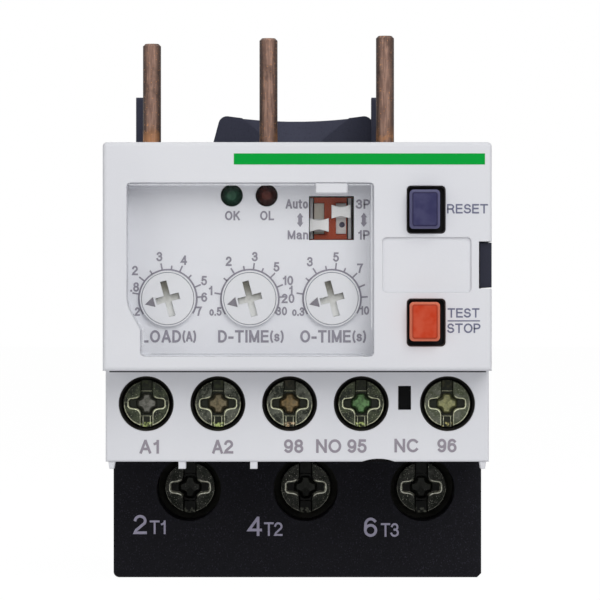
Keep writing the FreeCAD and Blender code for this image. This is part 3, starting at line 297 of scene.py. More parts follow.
@dataclass(frozen=True)
class FleckedPlastic(Finish):
    """Black glass-filled thermoplastic: pale fibre flecks, painted light making the hook and posts greyer and
    bluer, and a greyer latch towards the front.
    """

    low: Colour
    high: Colour
    fleck: Colour
    level: float = -0.4
    latch: float = 22.0

    def write(self, s: Shader) -> bpy.types.Material:
        """The colour is greyer above the level, which is painted light from above, and before the latch's
        depth, and noise peaks are flecks.

        Args:
            s: An empty shader.

        Returns:
            The shader's material.
        """
        cloud = s.noise(0.25, 3.0)
        fibre = s.noise(5.5, 2.0)
        skin = s.noise(3.0, 3.0)
        # Painted light: the hook and posts above the level are lit from above, so they are greyer and bluer.
        rise = s.axis(2).step(self.level, self.level + 1.2)
        before = (0 - s.axis(1)).step(self.latch, self.latch + 2.0)
        colour = s.blend(rise + before * (1 - rise) * 0.42, self.low, self.high)
        colour = s.blend(fibre.step(0.56, 0.74) * (0.25 + 0.6 * cloud), colour, self.fleck)
        return s.surface(Base_Color=colour, Roughness=0.55 + 0.2 * skin, Specular_IOR_Level=0.12,
                         Normal=s.relief(skin, 0.03, 0.15))


@dataclass(frozen=True)
class OxidisedCopper(Finish):
    """Copper rod that has browned in air and is golden near its root, with painted shade darkening it down its
    sides.
    """

    brown: Colour
    pale: Colour
    dark: Colour
    gold: Colour
    axis: float
    radius: float = 1.125
    root: float = 0.4

    def write(self, s: Shader) -> bpy.types.Material:
        """Drawn streaks run along the rod, the colour darkens off its axis as painted shade of the round rod,
        and bare specks shine through.

        Args:
            s: An empty shader.

        Returns:
            The shader's material.
        """
        streak = s.noise(1.8, 4.0, (2.5, 2.5, 0.25))
        patch = s.noise(0.5, 3.0)
        speck = s.noise(4.5, 2.0)
        # Painted shade: the colour darkens towards the rod's sides.
        away = s.axis(0) - self.axis
        side = (away * away) ** 0.5 / self.radius
        colour = s.blend(streak.step(0.3, 0.75), self.brown, self.pale)
        colour = s.blend(patch.step(0.5, 0.75) * 0.6, colour, self.dark)
        colour = s.blend(side.step(0.3, 0.95) * 0.9, colour, self.dark)
        near = 1 - s.axis(2).step(self.root, self.root + 3.6)
        colour = s.blend(near * patch.step(0.4, 0.6) * 0.8, colour, self.gold)
        bare = speck.step(0.62, 0.7)
        colour = s.blend(bare * 0.6, colour, self.gold)
        return s.surface(Base_Color=colour, Metallic=0.55, Roughness=0.46 + 0.2 * streak - 0.15 * bare,
                         Normal=s.relief(streak, 0.02, 0.1))


@dataclass(frozen=True)
class PlatedMetal(Finish):
    """Stamped and plated metal with a brushed skin."""

    colour: Colour
    tint: Colour
    roughness: float = 0.3

    def write(self, s: Shader) -> bpy.types.Material:
        """Brush lines are noise drawn out along one axis, under slow stains.

        Args:
            s: An empty shader.

        Returns:
            The shader's material.
        """
        brush = s.noise(3.0, 3.0, (0.2, 2.0, 2.0))
        stain = s.noise(0.3, 3.0)
        colour = s.blend(stain.step(0.35, 0.7) * 0.7 + brush * 0.3, self.colour, self.tint)
        return s.surface(Base_Color=colour, Metallic=1.0, Roughness=self.roughness + 0.2 * brush,
                         Normal=s.relief(brush, 0.01, 0.08))


@dataclass(frozen=True)
class ChromateSteel(Finish):
    """Chromated screw steel: mottled dark lands, rubbed edges with painted highlight, painted shade on its
    recess walls, a paler floor in the recess.
    """

    land: Colour
    tint: Colour
    wear_and_highlight_colour: Colour
    floor: Colour
    wall: Colour
    glint: Colour

    def write(self, s: Shader) -> bpy.types.Material:
        """The mesh's own wear_and_highlight, floor, wall and glint choose the colours, broken up by stains and
        specks; the wall is painted shade and the glint a painted highlight.

        Args:
            s: An empty shader.

        Returns:
            The shader's material.
        """
        stain = s.noise(0.9, 4.0)
        mottle = s.noise(3.0, 4.0)
        fine = s.noise(8.0, 3.0)
        colour = s.blend(stain.step(0.42, 0.6) * 0.6 + mottle.step(0.46, 0.62) * 0.4, self.land, self.tint)
        colour = s.blend(s.noise(7.0, 2.0).step(0.62, 0.72) * 0.4, colour, self.wear_and_highlight_colour)
        # The wall colour is painted shade on the recess's walls.
        colour = s.blend(s.attribute("wall"), colour, self.wall)
        colour = s.blend(s.attribute("glint") * mottle.step(0.44, 0.62), colour, self.glint)
        colour = s.blend(s.attribute("floor") * (0.5 + 0.5 * mottle.step(0.35, 0.62)), colour, self.floor)
        # Bright lines that are both rubbed metal and painted highlight.
        wear_and_highlight = s.attribute("wear_and_highlight") * (0.45 + 1.1 * mottle)
        colour = s.blend(wear_and_highlight.step(0.25, 0.8), colour, self.wear_and_highlight_colour)
        return s.surface(Base_Color=colour, Metallic=0.7, Roughness=0.38 + 0.25 * fine,
                         Normal=s.relief(fine, 0.012))


@dataclass(frozen=True)
class CapPlastic(Finish):
    """Glossy button plastic: a paler bevel that is painted highlight, a dark line of painted shade inside it
    and a skirt of painted shade under the cover's face.
    """

    face: Colour
    bevel: Colour
    shaded_border: Colour
    shaded_skirt: Colour

    def write(self, s: Shader) -> bpy.types.Material:
        """The mesh's own bevel, shaded_border and shaded_skirt choose among the colours, over fine moulding
        noise: painted highlight on the bevel, painted shade on the border line and the skirt.

        Args:
            s: An empty shader.

        Returns:
            The shader's material.
        """
        skin = s.noise(4.0, 3.0)
        cloud = s.noise(0.7, 2.0)
        colour = s.blend(cloud.step(0.3, 0.7) * 0.25, self.face, self.bevel)
        colour = s.blend(s.attribute("bevel"), colour, self.bevel)
        colour = s.blend(s.attribute("shaded_border") * (0.7 + 0.3 * skin), colour, self.shaded_border)
        colour = s.blend(s.attribute("shaded_skirt"), colour, self.shaded_skirt)
        return s.surface(Base_Color=colour, Roughness=0.4 + 0.14 * skin, Specular_IOR_Level=0.2,
                         Normal=s.relief(skin, 0.012))


@dataclass(frozen=True)
class SlotFloor(Finish):
    """The bottom of a dial's driver slot, with painted shade darkening it towards its upper end."""

    painted_shade: Colour
    unshaded: Colour
    middle: float
    reach: float

    def write(self, s: Shader) -> bpy.types.Material:
        """The painted shade fades along the slot from its upper end, broken by noise.

        Args:
            s: An empty shader.

        Returns:
            The shader's material.
        """
        cloud = s.noise(2.0, 3.0)
        up = (s.axis(2) - self.middle) / self.reach + (cloud - 0.5) * 0.5
        return s.surface(Base_Color=s.blend(up.step(-0.7, 0.9), self.unshaded, self.painted_shade),
                         Roughness=0.55 + 0.2 * cloud, Specular_IOR_Level=0.25)


@dataclass(frozen=True)
class EdgeHighlight(Finish):
    """Painted highlight along the clear flap's thick edge, where the pane catches light."""

    colour: Colour
    cover: float

    def write(self, s: Shader) -> bpy.types.Material:
        """The alpha is a constant cover, broken by noise along the edge.

        Args:
            s: An empty shader.

        Returns:
            The shader's material.
        """
        cloud = s.noise(0.8, 3.0)
        return s.surface(Base_Color=self.colour, Roughness=0.3 + 0.2 * cloud,
                         Alpha=self.cover * (0.6 + 0.8 * cloud), Specular_IOR_Level=0.4)


@dataclass(frozen=True)
class PrintedInk(Finish):
    """Pad-printed ink, a little thin in places."""

    colour: Colour
    thin: Colour

    def write(self, s: Shader) -> bpy.types.Material:
        """Fine noise thins the ink towards the colour of what is under it.

        Args:
            s: An empty shader.

        Returns:
            The shader's material.
        """
        cover = s.noise(4.0, 3.0)
        colour = s.blend(cover.step(0.5, 0.8) * 0.45, self.colour, self.thin)
        return s.surface(Base_Color=colour, Roughness=0.5 + 0.25 * cover, Specular_IOR_Level=0.08)


@dataclass(frozen=True)
class LampLens(Finish):
    """A small unlit coloured lamp."""

    colour: Colour
    glow: Colour
    centre: Pair
    radius: float

    def write(self, s: Shader) -> bpy.types.Material:
        """The colour lightens off the lamp's centre and darkens to its rim, under a clear gloss.

        Args:
            s: An empty shader.

        Returns:
            The shader's material.
        """
        away = ((s.axis(0) - self.centre[0]) ** 2.0 + (s.axis(2) - self.centre[1]) ** 2.0) ** 0.5
        swirl = s.noise(1.6, 2.0)
        light = (1 - (away / self.radius).step(0.1, 0.95)) * (0.35 + 0.65 * swirl.step(0.35, 0.7))
        return s.surface(Base_Color=s.blend(light, self.colour, self.glow), Roughness=0.22 + 0.1 * swirl,
                         Specular_IOR_Level=0.15, Coat_Weight=0.06, Coat_Roughness=0.08)


@dataclass(frozen=True)
class WoundWire(Finish):
    """Enamelled wire wound in layers."""

    colour: Colour
    shade: Colour

    def write(self, s: Shader) -> bpy.types.Material:
        """Each turn is a sine across the winding's length, dark between the turns.

        Args:
            s: An empty shader.

        Returns:
            The shader's material.
        """
        along = s.axis(2) * 26.0
        turn = along.math("SINE", along) * 0.5 + 0.5
        return s.surface(Base_Color=s.blend(turn, self.shade, self.colour), Metallic=0.7,
                         Roughness=0.3 + 0.2 * s.noise(2.0), Normal=s.relief(turn, 0.06))


@dataclass(frozen=True)
class Laminate(Finish):
    """Glass laminate with solder resist over its tracks."""

    resist: Colour
    track: Colour

    def write(self, s: Shader) -> bpy.types.Material:
        """Tracks are the bands of a slow wave, under a fine weave.

        Args:
            s: An empty shader.

        Returns:
            The shader's material.
        """
        band = s.node("ShaderNodeTexWave", {"bands_direction": "X"},
                      {"Vector": s.place(), "Scale": 0.35, "Distortion": 6.0, "Detail": 0.0}, "Fac")
        weave = s.noise(4.0, 1.0)
        return s.surface(Base_Color=s.blend(band.step(0.55, 0.7), self.resist, self.track),
                         Roughness=0.35 + 0.2 * weave, Normal=s.relief(weave, 0.02))


# Meshes


class Surface:
    """Gathers grids of points, in millimetres, into one closed mesh."""

    def __init__(self) -> None:
        """Starts with no points."""
        self.points: list[np.ndarray] = []
        self.faces: list[np.ndarray] = []
        self.paint: dict[str, list[np.ndarray]] = {}
        self.count = 0

    def grid(self, points: np.ndarray, round_rows: bool = False, round_columns: bool = False,
             **paint: np.ndarray) -> "Surface":
        """Joins neighbouring points of a grid by quads.

        Args:
            points: Rows by columns by three.
            round_rows: Whether the last row meets the first.
            round_columns: Whether the last column meets the first.
            paint: Numbers that the points carry, rows by columns.

        Returns:
            This surface.
        """
        rows, columns = points.shape[:2]
        row = np.arange(rows if round_rows else rows - 1)[:, None]
        column = np.arange(columns if round_columns else columns - 1)[None, :]
        under, beside = (row + 1) % rows, (column + 1) % columns
        corners = (row * columns + column, row * columns + beside,
                   under * columns + beside, under * columns + column)
        self.faces.append(np.stack(corners, -1).reshape(-1, 4) + self.count)
        self.points.append(points.reshape(-1, 3))
        for key, value in paint.items():
            self.paint.setdefault(key, []).append(np.broadcast_to(value, (rows, columns)).reshape(-1))
        self.count += rows * columns
        return self

    def mesh(self, name: str) -> bpy.types.Mesh:
        """Puts the gathered grids into a mesh in metres, with doubles merged and faces turned outwards.

        Args:
            name: The mesh's name.

        Returns:
            The mesh.
        """
        points = np.concatenate(self.points) * MM
        faces = np.concatenate(self.faces)
        mesh = bpy.data.meshes.new(name)
        mesh.vertices.add(len(points))
        mesh.vertices.foreach_set("co", points.astype(np.float32).ravel())
        mesh.loops.add(faces.size)
        mesh.loops.foreach_set("vertex_index", faces.astype(np.int32).ravel())
        mesh.polygons.add(len(faces))
        mesh.polygons.foreach_set("loop_start", np.arange(0, faces.size, 4, dtype=np.int32))
        mesh.update(calc_edges=True)
        for key, value in self.paint.items():
            layer = mesh.attributes.new(key, "FLOAT", "POINT")
            layer.data.foreach_set("value", np.concatenate(value).astype(np.float32))
        shell = bmesh.new()
        shell.from_mesh(mesh)
        bmesh.ops.remove_doubles(shell, verts=shell.verts, dist=MERGE)
        bmesh.ops.dissolve_degenerate(shell, edges=shell.edges, dist=SLIVER)
        bmesh.ops.recalc_face_normals(shell, faces=shell.faces)
        shell.to_mesh(mesh)
        shell.free()
        return mesh


def piece(mesh: bpy.types.Mesh, material: bpy.types.Material, body: str,
          stands_for: Sequence[str] = ()) -> None:
    """Makes a mesh a piece of the relay.

    Args:
        mesh: Its mesh, with its place in it.
        material: Its material.
        body: The body that it rides on.
        stands_for: The nodes that it replaces.
    """
    mesh.materials.append(material)
    mesh.polygons.foreach_set("use_smooth", np.ones(len(mesh.polygons), dtype=bool))
    mesh.set_sharp_from_angle(angle=CREASE)
    made = bpy.data.objects.new(mesh.name, mesh)
    bpy.context.scene.collection.objects.link(made)
    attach(made, body)
    if stands_for:
        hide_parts(*stands_for)
    log.info("%s: %d faces on %s", made.name, len(mesh.polygons), body)


def dress(finish: Finish, name: str, *nodes: str) -> None:
    """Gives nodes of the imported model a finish.

    Args:
        finish: The finish.
        name: Its material's name.
        nodes: The nodes' names.
    """
    material = finish.material(name)
    for node in nodes:
        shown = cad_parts[node]
        if not shown.material_slots:
            shown.data.materials.append(material)
        for slot in shown.material_slots:
            slot.material = material
        log.info("%s: %s", node, name)


def numbered(stem: str, count: int) -> list[str]:
    """The names of alike pieces, numbered from 1."""
    return [f"{stem}_{index + 1}" for index in range(count)]


def rounded_ring(wide: float, high: float, corner: float, steps: int = 10) -> np.ndarray:
    """The outline of a rounded rectangle about the origin.

    Each point is a corner's centre plus the corner's radius turned through a quarter circle, corner after
    corner.

    Args:
        wide: Width.
        high: Height.
        corner: The corners' radius.
        steps: Points to a corner.

    Returns:
        Points by two.
    """
    quarter = np.linspace(0, math.pi / 2, steps)
    angle = (np.arange(4)[:, None] * math.pi / 2 + quarter).ravel()
    side = np.repeat(np.array([[1, 1], [-1, 1], [-1, -1], [1, -1]]), steps, axis=0)
    centre = side * np.array([wide / 2 - corner, high / 2 - corner])
    return centre + corner * np.stack([np.cos(angle), np.sin(angle)], -1)


def loft(levels: Sequence[Box], centre: Pair, steps: int = 10) -> np.ndarray:
    """Rounded rectangles at depths, one row each.

    Row i is the outline of level i, moved to the centre and set at that level's depth.

    Args:
        levels: Depth, width, height and corner radius of each level.
        centre: Across and up.
        steps: Points to a corner.

    Returns:
        Levels by points by three.
    """
    rings = np.stack([rounded_ring(wide, high, corner, steps) for _, wide, high, corner in levels])
    depth = np.array([level[0] for level in levels])[:, None]
    depth = np.broadcast_to(depth, rings.shape[:2])
    return np.stack([rings[..., 0] + centre[0], depth, rings[..., 1] + centre[1]], -1)


def ribbon(path: np.ndarray, width: Union[float, np.ndarray], front: float, thick: float,
           closed: bool = False) -> np.ndarray:
    """A flat printed line that follows a path on a face.

    The profile is a rectangle, width across the path and thick in depth, carried along the path. At a corner
    it is turned to the mean of the two runs and widened by one over the cosine of half the turn, which mitres
    it.

    Args:
        path: Points by two, across and up.
        width: The line's width, or one for each point.
        front: The depth of its front.
        thick: How deep it is.
        closed: Whether the path's end meets its start.

    Returns:
        Points by profile by three.
    """
    runs = np.diff(np.concatenate([path, path[:1]]) if closed else path, axis=0)
    runs = runs / np.linalg.norm(runs, axis=1, keepdims=True)
    after = runs if closed else np.concatenate([runs, runs[-1:]])
    before = np.roll(runs, 1, axis=0) if closed else np.concatenate([runs[:1], runs])
    along = after + before
    along = along / np.maximum(np.linalg.norm(along, axis=1, keepdims=True), 1e-9)
    widen = 1 / np.maximum((along * after).sum(1), 0.45)
    normal = np.stack([-along[:, 1], along[:, 0]], -1) * (widen * width)[:, None]
    profile = np.array([[0.5, 0], [-0.5, 0], [-0.5, 1], [0.5, 1]])
    flat = path[:, None, :] + normal[:, None, :] * profile[None, :, :1]
    depth = np.broadcast_to(front + profile[None, :, 1] * thick, flat.shape[:2])
    return np.stack([flat[..., 0], depth, flat[..., 1]], -1)


def capped(rows: np.ndarray) -> np.ndarray:
    """Closes both ends of a loft by rows that shrink to the end rows' middles.

    Args:
        rows: Rows by points by three.

    Returns:
        The rows with a pole row before and after.
    """
    first = np.broadcast_to(rows[0].mean(0), rows[0].shape)
    last = np.broadcast_to(rows[-1].mean(0), rows[-1].shape)
    return np.concatenate([first[None], rows, last[None]])


def lathe(profile: Sequence[Pair], centre: Pair, steps: int = 96) -> np.ndarray:
    """A profile turned about an axis that points to the front.

    Row i is the circle of profile point i's radius about the centre, at that point's depth.

    Args:
        profile: Radius and depth of each point.
        centre: Across and up.
        steps: Points to a circle.

    Returns:
        Profile points by steps by three.
    """
    radius, depth = np.array(profile).T[:, :, None]
    turn = np.linspace(0, 2 * math.pi, steps, endpoint=False)[None, :]
    x = centre[0] + radius * np.cos(turn)
    return np.stack([x, np.broadcast_to(depth, x.shape), centre[1] + radius * np.sin(turn)], -1)


class Align(Enum):
    """Which point of a word its place is."""

    LEFT = 0.0
    CENTRE = 0.5


def bow(x: float, y: float, across: float, up: float, start: float, end: float) -> list[Pair]:
    """Points along an ellipse's arc, from its centre, its radii and its end angles in degrees."""
    turn = np.radians(np.linspace(start, end, max(6, int(abs(end - start) / 15))))
    return list(zip((x + across * np.cos(turn)).tolist(), (y + up * np.sin(turn)).tolist()))


S_CURVE = [*bow(0.27, 0.745, 0.235, 0.255, 18, 245), *bow(0.27, 0.265, 0.27, 0.265, 62, -162)]
P_CURVE = [(0, 0), (0, 1), (0.27, 1), *bow(0.27, 0.73, 0.25, 0.27, 80, -80), (0.27, 0.46), (0, 0.46)]

# Each sign's width and strokes, as the middle lines of its pen, in parts of a capital's height.
SIGNS: dict[str, tuple[float, list[list[Pair]]]] = {
    "0": (0.5, [bow(0.25, 0.5, 0.25, 0.5, 90, 450)]),
    "1": (0.26, [[(0.26, 1), (0.26, 0)], [(0.06, 0.76), (0.15, 0.8), (0.22, 0.88)]]),
    "2": (0.5, [[*bow(0.25, 0.72, 0.24, 0.28, 168, -30), (0.06, 0.16), (0, 0), (0.5, 0)]]),
    "3": (0.5, [bow(0.25, 0.76, 0.22, 0.24, 165, -88), bow(0.24, 0.27, 0.26, 0.27, 92, -165)]),
    "4": (0.58, [[(0.43, 0), (0.43, 1)], [(0.37, 0.93), (0, 0.28), (0.55, 0.28)]]),
    "5": (0.5, [[(0.45, 1), (0.09, 1), (0.05, 0.56)], bow(0.24, 0.32, 0.26, 0.32, 135, -158)]),
    "6": (0.5, [[*bow(0.27, 0.66, 0.25, 0.34, 40, 180), (0.01, 0.36)], bow(0.26, 0.31, 0.25, 0.31, 90, 450)]),
    "7": (0.5, [[(0, 1), (0.5, 1), (0.3, 0.55), (0.18, 0)]]),
    "8": (0.5, [bow(0.25, 0.76, 0.22, 0.24, -90, 270), bow(0.25, 0.27, 0.25, 0.27, 90, 450)]),
    "9": (0.5, [[*bow(0.23, 0.34, 0.25, 0.34, 220, 360), (0.49, 0.64)],
                bow(0.24, 0.69, 0.25, 0.31, 90, 450)]),
    ".": (0.02, [[(0, 0), (0, 0.03)]]),
    "-": (0.26, [[(0, 0.38), (0.26, 0.38)]]),
    "(": (0.15, [bow(0.4, 0.47, 0.4, 0.8, 130, 230)]),
    ")": (0.15, [bow(-0.25, 0.47, 0.4, 0.8, 50, -50)]),
    "A": (0.62, [[(0, 0), (0.29, 1)], [(0.62, 0), (0.33, 1)], [(0.17, 0.3), (0.45, 0.3)]]),
    "C": (0.62, [bow(0.34, 0.5, 0.34, 0.5, 42, 318)]),
    "D": (0.58, [[(0, 0.5), (0, 1), (0.22, 1), *bow(0.22, 0.5, 0.36, 0.5, 85, -85),
                  (0.22, 0), (0, 0), (0, 0.5)]]),
    "E": (0.5, [[(0.49, 1), (0, 1), (0, 0), (0.5, 0)], [(0, 0.53), (0.46, 0.53)]]),
    "I": (0.02, [[(0.01, 0), (0.01, 1)]]),
    "K": (0.56, [[(0, 0), (0, 1)], [(0.54, 1), (0, 0.36)], [(0.2, 0.6), (0.56, 0)]]),
    "L": (0.45, [[(0, 1), (0, 0), (0.45, 0)]]),
    "M": (0.7, [[(0, 0), (0, 1)], [(0.03, 0.96), (0.33, 0.06)], [(0.67, 0.96), (0.37, 0.06)],
                [(0.7, 0), (0.7, 1)]]),
    "N": (0.56, [[(0, 0), (0, 1)], [(0.04, 0.95), (0.52, 0.05)], [(0.56, 0), (0.56, 1)]]),
    "O": (0.7, [bow(0.35, 0.5, 0.35, 0.5, 90, 450)]),
    "P": (0.52, [P_CURVE]),
    "R": (0.56, [P_CURVE, [(0.27, 0.46), (0.42, 0.42), (0.48, 0.3), (0.5, 0.1), (0.56, 0)]]),
    "S": (0.54, [S_CURVE]),
    "T": (0.58, [[(0, 1), (0.58, 1)], [(0.29, 1), (0.29, 0)]]),
    "a": (0.44, [[*bow(0.2, 0.52, 0.2, 0.2, 160, 0), (0.4, 0.1), (0.45, 0)],
                 [(0.4, 0.42), *bow(0.18, 0.2, 0.18, 0.2, 90, 300), (0.4, 0.16)]]),
    "n": (0.4, [[(0, 0), (0, 0.72)], [(0, 0.5), *bow(0.2, 0.5, 0.2, 0.22, 160, 0), (0.4, 0)]]),
    "o": (0.46, [bow(0.23, 0.36, 0.23, 0.36, 90, 450)]),
    "s": (0.4, [[(0.75 * x, 0.72 * y) for x, y in S_CURVE]]),
    "t": (0.24, [[(0.1, 0.95), (0.1, 0.12), (0.16, 0), (0.24, 0)], [(0, 0.72), (0.24, 0.72)]]),
    "u": (0.4, [[(0, 0.72), *bow(0.2, 0.22, 0.2, 0.22, 180, 350)], [(0.4, 0.72), (0.4, 0)]]),
}


@dataclass
class Print:
    """Words and lines printed on one face, all drawn with a pen of even width."""

    name: str
    depth: float
    thick: float = 0.03
    pen: float = 0.16
    gap: float = 0.1
    breadth: float = 1.27
    root: float = 0.01
    layer: float = 0.003
    layers: int = 7
    lines: int = 0
    surface: Surface = field(default_factory=Surface)

    def word(self, text: str, across: float, up: float, cap: float, wide: float = 0.0,
             align: Align = Align.CENTRE) -> None:
        """Prints a word: its signs' strokes side by side, stretched across to the wanted width.

        Args:
            text: The word.
            across: Where its middle or its left end is.
            up: Where its capitals' middle is.
            cap: Its capitals' height.
            wide: Its width, or 0 for the signs' own.
            align: What across is measured to.
        """
        pen = self.pen * cap
        tall = cap - pen
        strokes, reach = [], 0.0
        for sign in text:
            width, lines = SIGNS[sign]
            strokes += [np.array(line) * (tall * self.breadth, tall) + (reach, 0) for line in lines]
            reach += width * tall * self.breadth + pen + self.gap * cap
        reach -= pen + self.gap * cap
        stretch = (wide - pen) / reach if wide else 1.0
        left = across - align.value * (reach * stretch + pen) + pen / 2
        for stroke in strokes:
            closed = np.allclose(stroke[0], stroke[-1])
            path = stroke * (stretch, 1.0) + (left, up - tall / 2)
            self.line(path[:-1] if closed else self.squared(path, pen / 2), pen, closed)

    @staticmethod
    def squared(path: np.ndarray, reach: float) -> np.ndarray:
        """Carries both ends of a path on, each along its last run, which gives the pen a square end.

        Args:
            path: Points by two.
            reach: How far.

        Returns:
            The longer path.
        """
        ends = path[[0, -1]] - path[[1, -2]]
        longer = path.copy()
        longer[[0, -1]] += reach * ends / np.linalg.norm(ends, axis=1, keepdims=True)
        return longer

    def line(self, path: Path, width: Union[float, np.ndarray], closed: bool = False) -> None:
        """Prints a line along a path, a hair prouder than the one before, so that crossings share no face.

        Args:
            path: Points, across and up.
            width: The line's width, or one for each point.
            closed: Whether it closes on itself.
        """
        thick = self.thick + self.layer * (self.lines % self.layers)
        self.lines += 1
        band = ribbon(np.asarray(path, float), width, self.depth - thick, thick + self.root, closed)
        self.surface.grid(band if closed else capped(band), round_rows=closed, round_columns=True)

    def upright(self, across: float, low: float, high: float, width: float) -> None:
        """Prints an upright line."""
        self.line([(across, low), (across, high)], width)

    def piece(self, ink: bpy.types.Material, body: str, slot: str) -> None:
        """Makes what was printed one piece on a body, of a material."""
        piece(self.surface.mesh(self.name), ink, body)


# Sub-assemblies


@dataclass
class Housing:
    """The mouldings, the clear flap with painted highlight along its edge, and the plain band printed on the
    cover.

    A box is given by its left, right, low and high edges.
    """

    front: float = COVER_FRONT
    band: Box = (-3.73, 25.3, -2.6, -1.32)
    flap_front: float = -36.7
    flap: Box = (-15.98, 12.32, -24.64, -4.83)
    barrel: float = 0.6
    barrel_up: float = -24.04
    inset: float = 0.1
    wide_inset: float = 0.12
    edge_light: Box = (0.16, 0.12, 0.14, 0.3)
    edge_light_thick: float = 0.01
    sweep_foot: float = -21.55
    foot_ends: Pair = (2.6, 1.1)
    stem: float = 1.72
    stem_foot: float = -23.36
    stem_sunk: float = 0.3
    tongue: Box = (5.7, 9.43, -5.95, -4.7)
    tongue_back: float = -35.7
    tongue_bevel: Pair = (0.2, 0.05)
    tongue_inset: float = 0.25
    tongue_corner: Pair = (0.2, 0.15)

    def build(self) -> None:
        """Prints the band across the cover's top, and adds the painted highlight on the flap's edge and the
        tongue over it.
        """
        left, right, low, high = self.band
        middle = (low + high) / 2
        stripe = Print("cover_band", self.front)
        stripe.line([(left, middle), (right, middle)], high - low)
        green = PrintedInk(srgb(0, 157, 57), srgb(8, 164, 64)).material("band_green")
        stripe.piece(green, "housing", "white_plastic")
        self.build_flap_edge()
        self.build_tongue()

    def build_flap_edge(self) -> None:
        """Lays pale lines of painted highlight just inside the flap's top, right, bottom and lower left edges.

        Below the barrel's axis a point moves back by the barrel's radius less the height of its circle there,
        so the bottom line lies on the barrel. The right line ends where the open flap leaves the recess, and
        the left one is sunk into the pane, clear of the recess's corner.
        """
        left, right, low, high = self.flap
        top, side, foot = high - self.inset, right - self.inset, low + self.wide_inset
        top_wide, side_wide, foot_wide, stem_wide = self.edge_light
        edge = Print("flap_edge", self.flap_front, self.edge_light_thick)
        edge.line([(left + self.wide_inset, top), (self.tongue[0] - self.inset, top)], top_wide)
        edge.line([(self.tongue[1] + self.inset, top), (side, top), (side, self.sweep_foot)], side_wide)
        edge.line([(right - self.foot_ends[1], foot), (left + self.foot_ends[0], foot)], foot_wide)
        edge.upright(left + self.stem, self.stem_foot, self.sweep_foot, stem_wide)
        edge.surface.points[-1][:, 1] += self.stem_sunk
        for points in edge.surface.points:
            drop = np.clip(self.barrel_up - points[:, 2], 0, self.barrel)
            points[:, 1] += self.barrel - np.sqrt(self.barrel ** 2 - drop ** 2)
        # Half see-through pale lines: painted highlight of the flap's thick edge.
        edge_light = EdgeHighlight(srgb(236, 238, 242), 0.5).material("flap_edge_highlight")
        edge.piece(edge_light, "window", "clear_plastic")

    def build_tongue(self) -> None:
        """Adds the bevelled tongue that reaches over the flap's top edge."""
        left, right, low, high = self.tongue
        wide, tall = right - left, high - low
        start, tip = (self.front + behind for behind in self.tongue_bevel)
        corner, tip_corner = self.tongue_corner
        levels = [(self.tongue_back, wide, tall, corner), (start, wide, tall, corner),
                  (tip, wide - self.tongue_inset, tall - self.tongue_inset, tip_corner)]
        centre = ((left + right) / 2, (low + high) / 2)
        tongue = Surface().grid(capped(loft(levels, centre)), round_columns=True)
        white = MouldedPlastic(srgb(222, 223, 227), srgb(214, 215, 220), roughness=0.55, grain=4.0,
                               depth=0.008, edge=0.1, gloss=0.25)
        piece(tongue.mesh("cover_tongue"), white.material("tongue_white"), "housing")

    def dress(self) -> None:
        """Gives the mouldings their plastics."""
        white = MouldedPlastic(srgb(224, 225, 229), srgb(218, 219, 224), roughness=0.6, grain=4.0,
                               depth=0.008, edge=0.18, gloss=0.2)
        dress(white, "cover_white", "front_cover", "control_block")
        # The second colour is painted light on the hook and posts.
        black = FleckedPlastic(srgb(11, 11, 17), srgb(66, 68, 84), srgb(50, 48, 60))
        dress(black, "base_black", "base_housing", "rear_cover")
        dress(ClearPane(), "flap_clear", "setting_window")


@dataclass
class Conductors:
    """The copper prongs and the terminal metal behind the screws."""

    pitch: float = 14.5
    poles: int = 3
    controls: int = 5

    def dress(self) -> None:
        """Gives the copper and the plated parts their finishes; the plates and clamps are darkened as painted
        shade deep in the bores.
        """
        for index, node in enumerate(numbered("conductor", self.poles)):
            copper = OxidisedCopper(srgb(108, 82, 72), srgb(158, 126, 110), srgb(46, 33, 30),
                                    srgb(196, 136, 84), (index - 1) * self.pitch)
            dress(copper, f"prong_copper_{index + 1}", node)
        # The dark brass and clamp colours are painted shade inside the terminal bores.
        brass = PlatedMetal(srgb(96, 82, 54), srgb(70, 60, 42), 0.4)
        dress(brass, "plate_brass", "control_plates", *numbered("power_plate", self.poles))
        steel = PlatedMetal(srgb(52, 52, 48), srgb(36, 36, 34), 0.45)
        dress(steel, "clamp_dark_shaded", *numbered("power_clamp", self.poles),
              *numbered("control_clamp", self.controls))


@dataclass
class Electronics:
    """What sits on the board inside."""

    poles: int = 3
    dials: int = 3

    def dress(self) -> None:
        """Gives the parts inside their finishes."""
        dress(Laminate(srgb(24, 84, 52), srgb(44, 120, 76)), "board_green", "main_board")
        dress(WoundWire(srgb(196, 110, 52), srgb(70, 34, 18)), "coil_wire", "relay_coil")
        iron = PlatedMetal(srgb(140, 140, 140), srgb(110, 108, 104), 0.4)
        dress(iron, "relay_iron", "relay_frame", "relay_armature")
        silver = PlatedMetal(srgb(210, 208, 200), srgb(180, 176, 168), 0.25)
        dress(silver, "contact_silver", "relay_contacts")
        for name, colour, tint, roughness, grain, depth, nodes in (
                ("potting_blue", srgb(34, 38, 60), srgb(44, 48, 72), 0.35, 1.5, 0.03,
                 numbered("current_transformer", self.poles)),
                ("capacitor_sleeve", srgb(36, 44, 70), srgb(48, 58, 88), 0.3, 1.0, 0.01,
                 ["supply_capacitor"]),
                ("chip_black", srgb(26, 26, 28), srgb(36, 36, 38), 0.6, 6.0, 0.02,
                 ["controller_chip", "reset_switch", "test_switch"]),
                ("trimmer_blue", srgb(48, 92, 160), srgb(60, 104, 170), 0.4, 3.0, 0.02,
                 numbered("trimmer", self.dials)),
                ("plunger_grey", srgb(60, 60, 62), srgb(72, 72, 74), 0.5, 4.0, 0.02,
                 ["reset_plunger", "test_plunger"])):
            dress(MouldedPlastic(colour, tint, roughness, grain, depth), name, *nodes)


